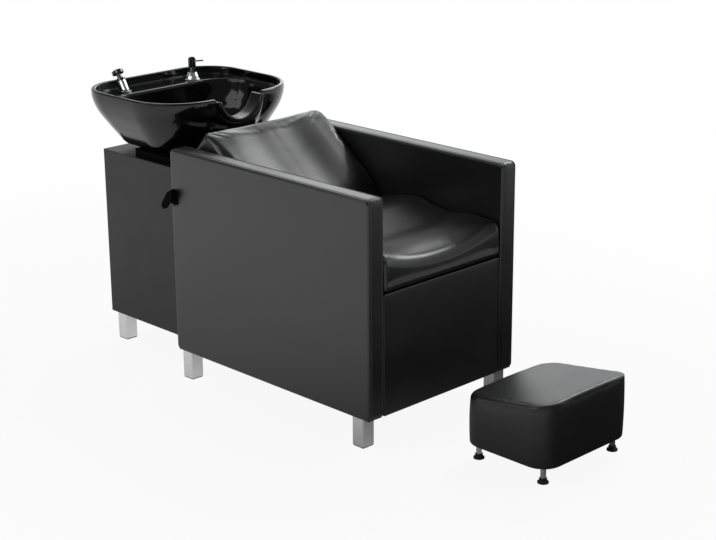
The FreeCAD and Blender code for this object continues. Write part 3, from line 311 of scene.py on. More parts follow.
@dataclass(frozen=True)
class GlossShell:
    """Moulded black shell, polished, with faint swirls, settled dust and slow waves."""
    name: str = "bowl_gloss_black"
    colour: Triple = (0.0030, 0.0030, 0.0032)
    dust: Triple = BLACK
    rough: float = 0.06
    level: float = 0.38
    coat: float = 0.12
    coat_rough: float = 0.04
    wave_depth: float = 0.0003

    def make(self) -> bpy.types.Material:
        """Builds the material.

        Returns:
            The material.
        """
        skin = Skin(self.name)
        haze = skin.noise(14.0, detail=4.0, rough=0.6)
        swirl = skin.noise(260.0)
        skin.dress(Base_Color=skin.blend(haze.above(0.35, 0.8), self.colour, self.dust),
                   Roughness=haze * 0.05 + swirl * 0.03 + self.rough,
                   Specular_IOR_Level=self.level, Coat_Weight=self.coat,
                   Coat_Roughness=self.coat_rough)
        skin.relief(skin.noise(38.0, rough=0.4), self.wave_depth, strength=0.25)
        return skin.material


@dataclass(frozen=True)
class Metal:
    """Plated or brushed metal with fine lines along one axis and finger haze."""
    name: str
    colour: Triple = (0.86, 0.87, 0.88)
    rough: float = 0.08
    lines: Triple = (1.0, 1.0, 1.0)
    line_scale: float = 600.0
    line_depth: float = 0.00001
    haze_share: float = 0.9

    def make(self) -> bpy.types.Material:
        """Builds the material.

        Returns:
            The material.
        """
        skin = Skin(self.name)
        lines = skin.noise(self.line_scale, rough=0.6, place=skin.stretched(self.lines))
        haze = skin.noise(60.0, detail=3.0, rough=0.6)
        shade = tuple(self.haze_share * part for part in self.colour)
        skin.dress(Base_Color=skin.blend(haze.above(0.3, 0.8), self.colour, shade),
                   Metallic=1.0,
                   Roughness=haze * 0.08 + lines * 0.06 + self.rough)
        skin.relief(lines, self.line_depth)
        return skin.material


@dataclass(frozen=True)
class Moulded:
    """Moulded plastic, rubber or laminate with an eroded surface."""
    name: str
    colour: Triple = BLACK
    rough: float = 0.5
    texture: float = 1400.0
    depth: float = 0.00006
    level: float = 0.5

    def make(self) -> bpy.types.Material:
        """Builds the material.

        Returns:
            The material.
        """
        skin = Skin(self.name)
        fine = skin.noise(self.texture, detail=3.0, rough=0.6)
        wide = skin.noise(24.0)
        lift = tuple(1.5 * part + 0.001 for part in self.colour)
        skin.dress(Base_Color=skin.blend(wide.above(0.3, 0.8), self.colour, lift),
                   Roughness=(wide - 0.5) * 0.12 + fine * 0.08 + self.rough,
                   Specular_IOR_Level=self.level)
        skin.relief(fine, self.depth)
        return skin.material


@dataclass(frozen=True)
class Timber:
    """Plywood stained black, with its grain still showing, for the hidden frames."""
    name: str = "stained_plywood"
    colour: Triple = (0.0100, 0.0092, 0.0085)
    lift: Triple = (0.0240, 0.0210, 0.0185)
    stretch: Triple = (6.0, 0.35, 6.0)
    ring_count: float = 38.0
    rough: float = 0.55
    depth: float = 0.0002

    def make(self) -> bpy.types.Material:
        """Builds the material.

        Returns:
            The material.
        """
        skin = Skin(self.name)
        grain = skin.noise(60.0, detail=5.0, rough=0.65, place=skin.stretched(self.stretch))
        rings = (grain * self.ring_count).math("SINE") * 0.5 + 0.5
        skin.dress(Base_Color=skin.blend(rings, self.colour, self.lift),
                   Roughness=grain * 0.2 + self.rough)
        skin.relief(rings, self.depth, strength=0.6)
        return skin.material


@dataclass(frozen=True)
class Backdrop:
    """Floor that looks white to the camera and in reflections, with soft shadows.

    In reflections the floor is an emission whose strength is painted light: it falls off
    towards a dark corner, and painted shade darkens it close round the object, which is taken
    as an upright box. The shadows that the camera sees fade out with the distance from that
    box.
    """
    name: str = "studio_floor"
    colours: tuple[Triple, Triple] = ((0.86, 0.86, 0.86), (0.88, 0.88, 0.88))
    white_share: float = 0.92
    # painted light and shade in reflections: the glow falls off towards this corner and
    # darkens round the object's box
    painted_dark_corner: Triple = (1.0, -1.5, 0.0)
    falloff: tuple[float, float] = (1.1, 2.5)
    dark_level: float = 0.03
    middle: Triple = (0.0, 0.28, 0.0)
    half: Triple = (0.30, 0.62, 1.0)
    near: tuple[float, float] = (0.2, 1.1)
    fade: tuple[float, float] = (0.5, 2.5)
    shade: float = 0.40

    def past_box(self, skin: Skin) -> Shade:
        """How far a place of the floor lies outside the object's box.

        Formula: the length of what the place's distance from the middle has over half
        the box's size, along each axis.

        Args:
            skin: the material's nodes.

        Returns:
            The distance in metres.
        """
        from_middle = skin.vector("SUBTRACT", skin.place(), self.middle)
        away = skin.vector("ABSOLUTE", from_middle.outputs["Vector"])
        over = skin.vector("SUBTRACT", away.outputs["Vector"], self.half)
        outside = skin.vector("MAXIMUM", over.outputs["Vector"], (0.0, 0.0, 0.0))
        length = skin.vector("LENGTH", outside.outputs["Vector"])
        return Shade(skin, length.outputs["Value"])

    def make(self) -> bpy.types.Material:
        """Builds the material.

        Returns:
            The material.
        """
        skin = Skin(self.name)
        skin.dress(Base_Color=skin.blend(skin.noise(1.4), *self.colours),
                   Roughness=0.85, Specular_IOR_Level=0.1)
        rays = skin.node("ShaderNodeLightPath").outputs
        seen, mirrored = Shade(skin, rays["Is Camera Ray"]), Shade(skin, rays["Is Glossy Ray"])
        # The glow that reflections see is painted light, dimmed by painted shade round the
        # object.
        from_corner = skin.vector("DISTANCE", skin.place(), self.painted_dark_corner)
        outside = self.past_box(skin)
        lit = Shade(skin, from_corner.outputs["Value"]).above(*self.falloff)
        lit = lit * (1.0 - (1.0 - outside.above(*self.near)) * self.shade)
        level = lit * (1.0 - self.dark_level) + self.dark_level
        white = skin.node("ShaderNodeEmission", inputs={"Strength": seen + mirrored * level})
        clear = outside.above(*self.fade) * (1.0 - self.white_share) + self.white_share
        mixed = skin.node("ShaderNodeMixShader", inputs={
            0: seen * clear + mirrored, 1: skin.surface.outputs[0], 2: white.outputs[0]})
        skin.feed(skin.output.inputs["Surface"], mixed.outputs[0])
        return skin.material


class Finish(Enum):
    """The finishes of this object, by the piece that each is for."""
    ARM_CLOTH = Upholstery("arm_upholstery", rough=0.34, level=0.75)
    SEAT_CLOTH = Upholstery("seat_upholstery", rough=0.29, level=0.70, grain=1000.0,
                            grain_depth=0.00010)
    CABINET = Moulded("cabinet_laminate", (0.0085, 0.0085, 0.0088), 0.42, 700.0, 0.00008)
    SHELL = GlossShell()
    NECK = Moulded("neck_rest_rubber", (0.0045, 0.0045, 0.0047), 0.20, 900.0, 0.00003)
    CHROME = Metal("polished_chrome", rough=0.05)
    SMOKED = Metal("smoked_chrome", (0.10, 0.10, 0.105), 0.10)
    LEG = Metal("satin_leg", (0.90, 0.90, 0.91), 0.30, (1.0, 1.0, 0.02), 900.0)
    STEEL = Metal("brushed_steel", (0.55, 0.56, 0.58), 0.28, (1.0, 0.03, 1.0))
    BLACK_PLASTIC = Moulded("black_plastic")
    GAITER = Moulded("black_rubber", (0.0018, 0.0018, 0.0019), 0.7, 1100.0, 0.00008, 0.04)
    WASTE_PLASTIC = Moulded("waste_plastic", (0.75, 0.75, 0.74), 0.4)
    TIMBER = Timber()

    def coat(self, item: bpy.types.Object) -> None:
        """Gives an object this finish alone; its material is made when first needed.

        Args:
            item: the object.
        """
        found = bpy.data.materials.get(self.value.name)
        item.data.materials.clear()
        item.data.materials.append(found or self.value.make())


# Curves and surfaces

def smooth_step(values: Array, low: float, high: float) -> Array:
    """Rises smoothly from 0 at low to 1 at high: 3t squared less 2t cubed."""
    t = np.clip((values - low) / (high - low), 0.0, 1.0)
    return t * t * (3.0 - 2.0 * t)


def through(stops: Sequence[Sequence[float]], column: int, values: Array) -> Array:
    """Follows stops with a smooth curve.

    Formula: a cubic between neighbours whose slopes are those of a parabola through
    each stop and its two neighbours.

    Args:
        stops: rows whose first number is the place.
        column: which number of a row is followed.
        values: the places to read.

    Returns:
        The curve at each place.
    """
    table = np.array(stops, float)
    x, y = table[:, 0], table[:, column]
    slope = np.gradient(y, x)
    values = np.clip(values, x[0], x[-1])
    left = np.clip(np.searchsorted(x, values, side="right") - 1, 0, len(x) - 2)
    width = x[left + 1] - x[left]
    t = (values - x[left]) / width
    return ((2 * t**3 - 3 * t**2 + 1) * y[left]
            + (t**3 - 2 * t**2 + t) * width * slope[left]
            + (3 * t**2 - 2 * t**3) * y[left + 1]
            + (t**3 - t**2) * width * slope[left + 1])


def spread(count: int, ends: float = 0.0) -> Array:
    """Even steps from 0 to 1, drawn towards both ends by a share of a sine."""
    t = np.linspace(0.0, 1.0, count)
    return t - ends * np.sin(2 * np.pi * t) / (2 * np.pi)


def quarter_turn(count: int) -> Array:
    """Rows of an angle up to a right one, 1 less its sine, and 1 less its cosine."""
    turn = spread(count) * RIGHT_ANGLE
    return np.column_stack([turn, 1.0 - np.sin(turn), 1.0 - np.cos(turn)])


def between(first: Array | float, last: Array | float, share: Array | float
            ) -> Array | float:
    """What lies at a share of the way from the first to the last."""
    return first * (1 - share) + last * share


def at_height(loop: Array, height: float) -> Array:
    """The same loop at another height."""
    return np.column_stack([loop[:, :2], np.full(len(loop), height)])


def points_of(mesh: bpy.types.Mesh) -> Array:
    """Reads all the points of a mesh.

    Args:
        mesh: the mesh.

    Returns:
        The points, as rows of three.
    """
    flat = np.empty(3 * len(mesh.vertices), np.float32)
    mesh.vertices.foreach_get("co", flat)
    return flat.reshape(-1, 3).astype(float)


def move_points(mesh: bpy.types.Mesh, points: Array) -> None:
    """Puts the points of a mesh in new places."""
    mesh.vertices.foreach_set("co", points.astype(np.float32).ravel())
    mesh.update()


def surface(name: str, points: Array, marks: Optional[dict[str, Array]] = None,
            ends: tuple[bool, bool] = (False, False)) -> bpy.types.Object:
    """Makes a mesh from a grid whose rows are closed loops.

    Formula: neighbouring rows are joined by four-sided faces; an end that is closed
    gets a point at its row's mean and a fan of triangles.

    Args:
        name: the object's name.
        points: rows by columns by three, in metres in the row frame.
        marks: values kept at the points, by name, rows by columns.
        ends: whether the first and the last row are closed.

    Returns:
        The new object, at the origin.
    """
    rows, columns = points.shape[:2]
    flat = points.reshape(-1, 3)
    number = np.arange(rows * columns).reshape(rows, columns)
    follow = np.roll(number, -1, axis=1)
    quads = np.stack([number[:-1], follow[:-1], follow[1:], number[1:]], -1)
    corners, sizes, hubs = [quads.reshape(-1)], [np.full(quads.size // 4, 4)], []
    for closed, row, turned in ((ends[0], 0, True), (ends[1], rows - 1, False)):
        if closed:
            hub = np.full(columns, len(flat) + len(hubs))
            hubs.append(points[row].mean(0))
            one, two = number[row], follow[row]
            fan = np.stack([two, one, hub] if turned else [one, two, hub], -1)
            corners.append(fan.reshape(-1))
            sizes.append(np.full(columns, 3))
    mesh = bpy.data.meshes.new(name)
    loops, counts = np.concatenate(corners), np.concatenate(sizes)
    corner_points = np.vstack([flat, *hubs]).astype(np.float32)
    mesh.vertices.add(len(corner_points))
    mesh.vertices.foreach_set("co", corner_points.ravel())
    mesh.loops.add(len(loops))
    mesh.loops.foreach_set("vertex_index", loops.astype(np.int32))
    mesh.polygons.add(len(counts))
    starts = np.concatenate([[0], np.cumsum(counts)[:-1]]).astype(np.int32)
    mesh.polygons.foreach_set("loop_start", starts)
    mesh.polygons.foreach_set("use_smooth", np.ones(len(counts), bool))
    mesh.update(calc_edges=True)
    for label, values in (marks or {}).items():
        kept = mesh.attributes.new(label, "FLOAT", "POINT")
        filled = np.concatenate([values.reshape(-1), np.ones(len(hubs))])
        kept.data.foreach_set("value", filled.astype(np.float32))
    made = bpy.data.objects.new(name, mesh)
    bpy.context.scene.collection.objects.link(made)
    return made


def weld(piece: bpy.types.Object, reach: float = 1e-5) -> bpy.types.Object:
    """Merges points that coincide, and turns the faces outwards.

    Args:
        piece: the object.
        reach: how near two points are merged, in metres.

    Returns:
        The same object.
    """
    form = bmesh.new()
    form.from_mesh(piece.data)
    bmesh.ops.remove_doubles(form, verts=form.verts, dist=reach)
    bmesh.ops.dissolve_degenerate(form, edges=form.edges, dist=reach)
    bmesh.ops.recalc_face_normals(form, faces=form.faces)
    form.to_mesh(piece.data)
    form.free()
    return piece


def finish_piece(piece: bpy.types.Object, body: str, finish: Finish, slot: str,
                 *nodes: str, fill: Optional[float] = None) -> None:
    """Gives a piece its finish and its body, and hides the nodes that it stands for.

    Args:
        piece: the object.
        body: the body that it rides on.
        finish: its finish.
        slot: the record's material slot; not used.
        nodes: the nodes that it replaces.
        fill: how full it is stuffed, for a padded piece; not used.
    """
    finish.coat(piece)
    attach(piece, body)
    if nodes:
        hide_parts(*nodes)
    LOG.info("%s: %d faces on %s", piece.name, len(piece.data.polygons), body)


def box_of(*nodes: str) -> tuple[Array, Array]:
    """The lowest and highest corners that hold all the named nodes."""
    corners = np.array([[tuple(corner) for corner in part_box(node)] for node in nodes])
    return corners[:, 0].min(axis=0), corners[:, 1].max(axis=0)


def four_fold(quarter: Array) -> Array:
    """A quarter of an outline, from the right to the top, mirrored to a whole one."""
    half = np.vstack([quarter, quarter[::-1][1:] * [-1.0, 1.0]])
    return np.vstack([half, half[::-1][1:-1] * [1.0, -1.0]])


@dataclass
class Outline:
    """A rectangle with rounded corners, anticlockwise from the middle of its right side.

    Each point has its outward way, the length run along the outline up to it, and its
    place on the spine, the line along the middle that the inner rings draw together to.
    """
    points: Array
    ways: Array
    run: Array
    spine: Array

    @classmethod
    def rounded(cls, half_x: float, half_y: float, radius: float, side: int,
                corner: int) -> "Outline":
        """Works out the outline about its own middle.

        Formula: four straight runs joined by quarter circles, of which a quarter is
        worked out and mirrored, so that the points of all quarters match.

        Args:
            half_x: half the width.
            half_y: half the length.
            radius: the corner radius.
            side: points on half a run.
            corner: steps on a quarter circle.

        Returns:
            The outline.
        """
        run_x, run_y = half_x - radius, half_y - radius
        turn = np.linspace(0.0, RIGHT_ANGLE, corner + 1)
        round_way = np.column_stack([np.cos(turn), np.sin(turn)])
        steps = spread(side + 1, RUN_ENDS)
        points = four_fold(np.vstack([
            np.column_stack([np.full(side, half_x), steps[:-1] * run_y]),
            [run_x, run_y] + radius * round_way,
            np.column_stack([(1.0 - steps[1:]) * run_x, np.full(side, half_y)])]))
        ways = four_fold(np.vstack([np.tile([1.0, 0.0], (side, 1)), round_way,
                                    np.tile([0.0, 1.0], (side, 1))]))
        lengths = np.linalg.norm(np.diff(points, axis=0), axis=1)
        axis, reach = (0 if half_x > half_y else 1), abs(half_x - half_y)
        spine = np.zeros_like(points)
        spine[:, axis] = np.clip(points[:, axis], -reach, reach)
        return cls(points, ways, np.concatenate([[0.0], np.cumsum(lengths)]), spine)

    def inward(self, inset: Array | float) -> Array:
        """The points moved in by an inset, or each by one of its own."""
        return self.points - self.ways * np.reshape(inset, (-1, 1))

    def face(self, inset: float, crown: float, width: float, steps: int
             ) -> Iterator[tuple[Array, Array, Array]]:
        """The rings of a padded face, from the spine to just inside its edge.

        Formula: the face swells by the crown, less the crown times an exponential
        that falls with the distance from the edge.

        Args:
            inset: how far inside the outline the face ends.
            crown: how far it swells.
            width: the distance over which most of the swell is reached.
            steps: the number of rings, with the one at the edge.

        Returns:
            For each ring its places, its swell, and its distance from the face's edge.
        """
        inner = self.inward(inset)
        for t in spread(steps, FACE_ENDS)[:-1]:
            place = between(self.spine, inner, t)
            away = np.linalg.norm(inner - place, axis=1)
            yield place, crown * (1 - np.exp(-away / width)), away


@dataclass
class Rings:
    """The rings of a padded piece, one after another, with what its stitches need."""
    run: Array
    rows: list[Array] = field(default_factory=list)
    seams: list[Array] = field(default_factory=list)

    def add(self, x: Array | float, y: Array | float, z: Array | float,
            seam: Array | float) -> None:
        """Adds a ring; a number holds for all its points.

        Args:
            x: its places across.
            y: its places along.
            z: its heights.
            seam: its points' distance from the nearest seam.
        """
        *place, from_seam = [np.broadcast_to(part, self.run.shape)
                             for part in (x, y, z, seam)]
        self.rows.append(np.stack(place, -1))
        self.seams.append(from_seam)

    def piece(self, name: str, shift: Sequence[float],
              ends: tuple[bool, bool] = (False, False)) -> bpy.types.Object:
        """Makes the piece, which keeps the distances along and from its seams.

        Args:
            name: the piece's name.
            shift: how far the rings are moved.
            ends: whether the first and the last ring are closed.

        Returns:
            The piece, welded.
        """
        marks = {"seam": np.array(self.seams),
                 "thread": np.tile(self.run, (len(self.rows), 1))}
        return weld(surface(name, np.array(self.rows) + shift, marks, ends))


@dataclass
class Pad:
    """A padded form over a rounded footprint, made of rings from below to above.

    The rings run from the middle of the flat underside to its edge, up the sides, over
    a rounded edge, and along the top to the middle. Where the side ends, it stands
    seam_in from the seam, so that a large one leaves the stitches out.
    """
    half_x: float
    half_y: float
    corner: float
    edge: Callable[[Array], Array]
    side: int
    corner_steps: int = 10
    top_rows: int = 34
    wall_rows: int = 14
    edge_rows: int = 9
    under_rows: int = 10
    foot_rows: int = 5
    edge_low: float = 0.006
    bulge: float = 0.0005
    bulge_power: float = 0.8
    wall_ends: float = 0.5
    seam_depth: float = 0.0022
    seam_width: float = 0.0035
    seam_in: float = 0.010
    no_seam: float = 1.0

    def rings(self, top: Callable[[Array, Array], Array], low: float) -> Rings:
        """Works out the rings.

        Formula: a point of a ring is the outline's point less its outward direction
        times the inset. On a side it bulges by a sine of its height; on the rounded
        edge it follows a quarter circle; on top it lies at top(x, y). Beside the seam
        it dips by a bell curve.

        Args:
            top: the height of the top at a place of the footprint.
            low: the height of the flat underside.

        Returns:
            The rings, about the footprint's middle.
        """
        line = Outline.rounded(self.half_x, self.half_y, self.corner, self.side,
                               self.corner_steps)
        rings = Rings(line.run)
        radius = self.edge(line.ways)
        inner, foot = line.inward(radius), line.inward(self.edge_low)
        edge_height = top(*inner.T)
        for t in spread(self.under_rows)[:0:-1]:
            rings.add(*between(foot, line.spine, t).T, low, self.no_seam)
        for _, lack, loss in quarter_turn(self.foot_rows):
            rings.add(*line.inward(self.edge_low * lack).T, low + self.edge_low * loss,
                      self.no_seam)
        wall_low, wall_high = low + self.edge_low, edge_height - radius
        for t in spread(self.wall_rows, self.wall_ends)[1:]:
            height = wall_low + (wall_high - wall_low) * t
            below = wall_high - height + self.seam_in
            dip = np.exp(-(below / self.seam_width) ** 2) * self.seam_depth
            bulge = self.bulge * math.sin(math.pi * t) ** self.bulge_power
            rings.add(*line.inward(dip - bulge).T, height, np.abs(below))
        for turn, lack, loss in quarter_turn(self.edge_rows)[1:]:
            rings.add(*line.inward(radius * loss).T, edge_height - radius * lack,
                      radius * turn + self.seam_in)
        for t in spread(self.top_rows)[1:]:
            place = between(inner, line.spine, t)
            away = np.linalg.norm(inner - place, axis=1) + radius * RIGHT_ANGLE
            rings.add(*place.T, top(*place.T), away)
        return rings


@dataclass
class Stuffing:
    """Soft filling: lets a cushion's cover swell over its foam in a cloth simulation.

    A remeshed copy of the cushion swells under pressure while the points near its flat
    underside are held, up to the height hold above it. The cushion follows that copy;
    of a move across only the share sideways is kept, and no point moves further than
    the cap.
    """
    cap: float
    pressure: float = 4.0
    voxel: float = 0.006
    frames: int = 20
    hold: float = 0.02
    stiff: float = 12.0
    bend: float = 2.0
    sideways: float = 0.2

    def cloth_copy(self, piece: bpy.types.Object, low: float) -> bpy.types.Object:
        """Makes the copy that swells: evenly meshed triangles with a cloth modifier.

        Args:
            piece: the cushion.
            low: the height of its underside.

        Returns:
            The copy.
        """
        copy = bpy.data.objects.new(f"{piece.name}_cloth", piece.data.copy())
        bpy.context.scene.collection.objects.link(copy)
        copy.data.remesh_voxel_size = self.voxel
        copy.data.remesh_voxel_adaptivity = 0.0
        with bpy.context.temp_override(object=copy, active_object=copy,
                                       selected_objects=[copy]):
            bpy.ops.object.voxel_remesh()
        form = bmesh.new()
        form.from_mesh(copy.data)
        bmesh.ops.triangulate(form, faces=form.faces[:])
        form.to_mesh(copy.data)
        form.free()
        held = copy.vertex_groups.new(name="held")
        lowest = points_of(copy.data)[:, 2] < low + self.hold
        held.add(np.flatnonzero(lowest).tolist(), 1.0, "REPLACE")
        cloth = copy.modifiers.new("cloth", "CLOTH")
        cloth.settings.use_pressure = True
        cloth.settings.uniform_pressure_force = self.pressure
        cloth.settings.tension_stiffness = self.stiff
        cloth.settings.compression_stiffness = self.stiff
        cloth.settings.bending_stiffness = self.bend
        cloth.settings.vertex_group_mass = held.name
        cloth.settings.effector_weights.gravity = 0.0
        cloth.point_cache.frame_start, cloth.point_cache.frame_end = 1, self.frames
        return copy

    def swell(self, piece: bpy.types.Object, low: float) -> None:
        """Runs the simulation and keeps its result in the cushion's mesh.

        Formula: each point moves by its simulated way, shortened by a hyperbolic
        tangent so that its length stays below the cap.

        Args:
            piece: the cushion, flat side down.
            low: the height of its underside.
        """
        copy = self.cloth_copy(piece, low)
        scene = bpy.context.scene
        scene.frame_set(1)
        follow = piece.modifiers.new("follow", "SURFACE_DEFORM")
        follow.target = copy
        with bpy.context.temp_override(object=piece, active_object=piece):
            bpy.ops.object.surfacedeform_bind(modifier=follow.name)
        for moment in range(1, self.frames + 1):
            scene.frame_set(moment)
        shown = piece.evaluated_get(bpy.context.evaluated_depsgraph_get())
        start, swollen = points_of(piece.data), points_of(shown.data)
        way = (swollen - start) * [self.sideways, 1.0, 1.0]
        length = np.linalg.norm(way, axis=1, keepdims=True) + 1e-9
        LOG.info("%s swells by up to %.1f mm", piece.name, 1000 * float(length.max()))
        piece.modifiers.remove(follow)
        bpy.data.objects.remove(copy)
        scene.frame_set(1)
        move_points(piece.data, start + way * self.cap * np.tanh(length / self.cap) / length)


# Soft pieces

@dataclass
class ArmPads:
    """The two padded arms: a wide panel whose narrow strip is sewn in all round."""
    round: float = 0.009
    corner: float = 0.016
    crown: float = 0.0012
    crown_width: float = 0.05
    strip_crown: float = 0.0006
    groove: float = 0.0013
    groove_width: float = 0.0024
    seam_in: float = 0.002
    under: float = 0.0003
    side_points: int = 54
    corner_steps: int = 8
    face_rows: int = 26
    edge_rows: int = 8
    strip_rows: int = 40
    strip_ends: float = 0.75

    def face(self, line: Outline, half: float) -> list[tuple[Array, Array, Array]]:
        """Works out the rings of one face, from its middle to the strip.

        Formula: the face swells towards its middle, and its edge is a quarter circle
        on which the swell dies out.

        Args:
            line: the arm's outline seen from the side.
            half: half the arm's width.

        Returns:
            For each ring its places, how far out it lies, and its distance from the
            strip's seam.
        """
        rings = [(place, half + swell - self.crown,
                  away + self.round * RIGHT_ANGLE + self.seam_in)
                 for place, swell, away in line.face(self.round, self.crown,
                                                     self.crown_width,
                                                     self.face_rows)]
        for turn, lack, loss in quarter_turn(self.edge_rows):
            crown_left = self.crown * (1 - turn / RIGHT_ANGLE)
            rings.append((line.inward(self.round * lack),
                          half - self.round * loss - crown_left,
                          self.round * (RIGHT_ANGLE - turn) + self.seam_in))
        return rings

    def form(self, name: str, node: str) -> bpy.types.Object:
        """Builds one arm.

        Formula: rings of the side outline run over the near face, across the strip and
        back over the far face, which mirrors the near one. The strip swells by a sine
        and dips by a bell curve at both its seams.

        Args:
            name: the piece's name.
            node: the node that gives its size and place.

        Returns:
            The new piece.
        """
        low, high = box_of(node)
        low[2] -= self.under
        middle, half = (low + high) / 2, (high - low) / 2
        line = Outline.rounded(half[1], half[2], self.corner, self.side_points,
                               self.corner_steps)
        rings = Rings(line.run)
        face = self.face(line, half[0])
        for place, out, seam in face:
            rings.add(-out, *place.T, seam)
        flat = half[0] - self.round
        for t in spread(self.strip_rows, self.strip_ends)[1:-1]:
            across = (2 * t - 1) * flat
            near = flat - abs(across) - self.seam_in
            dip = self.groove * math.exp(-(near / self.groove_width) ** 2)
            swell = self.strip_crown * math.sin(math.pi * t)
            rings.add(across, *line.inward(dip - swell).T, abs(near))
        for place, out, seam in face[::-1]:
            rings.add(out, *place.T, seam)
        return rings.piece(name, middle)

    def build(self) -> None:
        """Builds and dresses both arms."""
        for side in ("near", "far"):
            piece = self.form(f"{side}_arm_padding", f"{side}_arm_cover")
            finish_piece(piece, "frame", Finish.ARM_CLOTH, CLOTH_SLOT,
                         f"{side}_arm_cover", fill=0.9)


@dataclass
class FrontApron:
    """The padded panel below the seat, between the arms."""
    round: float = 0.004
    corner: float = 0.006
    crown: float = 0.0018
    crown_width: float = 0.04
    side_gap: float = 0.0002
    lift: float = 0.0003
    from_seam: float = 0.008
    rear_from_seam: float = 0.02
    rear_shares: tuple[float, float] = (1.0, 0.98)
    side_points: int = 40
    corner_steps: int = 6
    face_rows: int = 22
    edge_rows: int = 7

    def build(self) -> None:
        """Builds and dresses the panel.

        Formula: rings of the front outline run from the middle of the swollen front to
        its edge, round the edge by a quarter circle, and a little way in at the rear,
        which is closed flat.
        """
        low, high = box_of("front_panel_cover", "front_panel_board")
        low[2] += self.lift
        middle, half = (low + high) / 2, (high - low) / 2
        line = Outline.rounded(half[0] - self.side_gap, half[2], self.corner,
                               self.side_points, self.corner_steps)
        rings = Rings(line.run)
        front = low[1] + self.crown
        for place, swell, away in line.face(self.round, self.crown, self.crown_width,
                                            self.face_rows):
            rings.add(place[:, 0], front - swell, place[:, 1], away + self.from_seam)
        for _, lack, loss in quarter_turn(self.edge_rows):
            place = line.inward(self.round * lack)
            rings.add(place[:, 0], front + self.round * loss, place[:, 1], self.from_seam)
        for share in self.rear_shares:
            place = between(line.spine, line.points, share)
            rings.add(place[:, 0], high[1], place[:, 1], self.rear_from_seam)
        piece = rings.piece("front_apron", (middle[0], 0.0, middle[2]), (False, True))
        finish_piece(piece, "frame", Finish.ARM_CLOTH, CLOTH_SLOT, "front_panel_cover",
                     fill=0.9)


@dataclass(frozen=True)
class Profile:
    """A cushion's height along its middle and along its sides, in shares.

    A stop holds a share of the depth, the roll's height at the sides and the hollow's
    height in the middle, both in shares of the cushion's thickness.
    """
    stops: tuple[Triple, ...]
    power: float

    def at(self, depth: Array, across: Array) -> Array:
        """The height where depth runs from 0 in front to 1, and across from 0 to 1.

        Formula: the hollow, and the rise from it to the roll times a power of the
        distance across.

        Args:
            depth: shares of the depth.
            across: shares of half the width, of either sign.

        Returns:
            The height in shares of the thickness.
        """
        roll, hollow = through(self.stops, 1, depth), through(self.stops, 2, depth)
        return hollow + (roll - hollow) * np.abs(across) ** self.power


@dataclass
class SeatPad:
    """The seat cushion: rolls at the sides, a hollow middle, a hump before the back."""
    low: float = 0.460
    thick: float = 0.128
    depth: float = 0.484
    side_gap: float = 0.0012
    shoulder: float = 0.014
    front_round: float = 0.030
    rear_round: float = 0.022
    lower_round: float = 0.011
    corner: float = 0.012
    profile: Profile = Profile((
        (-0.02, 0.780, 0.490), (0.050, 0.825, 0.545), (0.130, 0.865, 0.615),
        (0.240, 0.895, 0.680), (0.390, 0.840, 0.672), (0.530, 0.895, 0.740),
        (0.665, 0.985, 0.825), (0.830, 0.915, 0.785), (0.960, 0.800, 0.715),
        (1.02, 0.750, 0.680)), 2.2)
    stuffing: Stuffing = field(default_factory=lambda: Stuffing(cap=0.005))

    def edge(self, ways: Array) -> Array:
        """The edge's radius: full in front, tighter at the sides and the rear.

        Args:
            ways: the outline's outward ways.

        Returns:
            The radius at each point.
        """
        front = np.clip(-ways[:, 1], 0.0, 1.0) ** 2
        rear = np.clip(ways[:, 1], 0.0, 1.0) ** 2
        return (self.front_round * front + self.rear_round * rear
                + self.shoulder * ways[:, 0] ** 2)

    def build(self) -> None:
        """Builds and dresses the cushion, which is worked out about its middle."""
        low, high = box_of("seat_cushion")
        half = (high[0] - low[0]) / 2

        def top(x: Array, y: Array) -> Array:
            """The top's height over a place of the footprint."""
            share, across = y / self.depth + 0.5, x / (half - self.shoulder)
            return self.low + self.thick * self.profile.at(share, across)

        pad = Pad(half - self.side_gap, self.depth / 2, self.corner, self.edge, side=60,
                  corner_steps=8, top_rows=60, edge_low=self.lower_round)
        shift = ((low[0] + high[0]) / 2, low[1] + self.depth / 2, 0.0)
        piece = pad.rings(top, self.low).piece("seat_pad", shift)
        self.stuffing.swell(piece, self.low)
        finish_piece(piece, "seat_carriage", Finish.SEAT_CLOTH, CLOTH_SLOT,
                     "seat_cushion", fill=0.7)


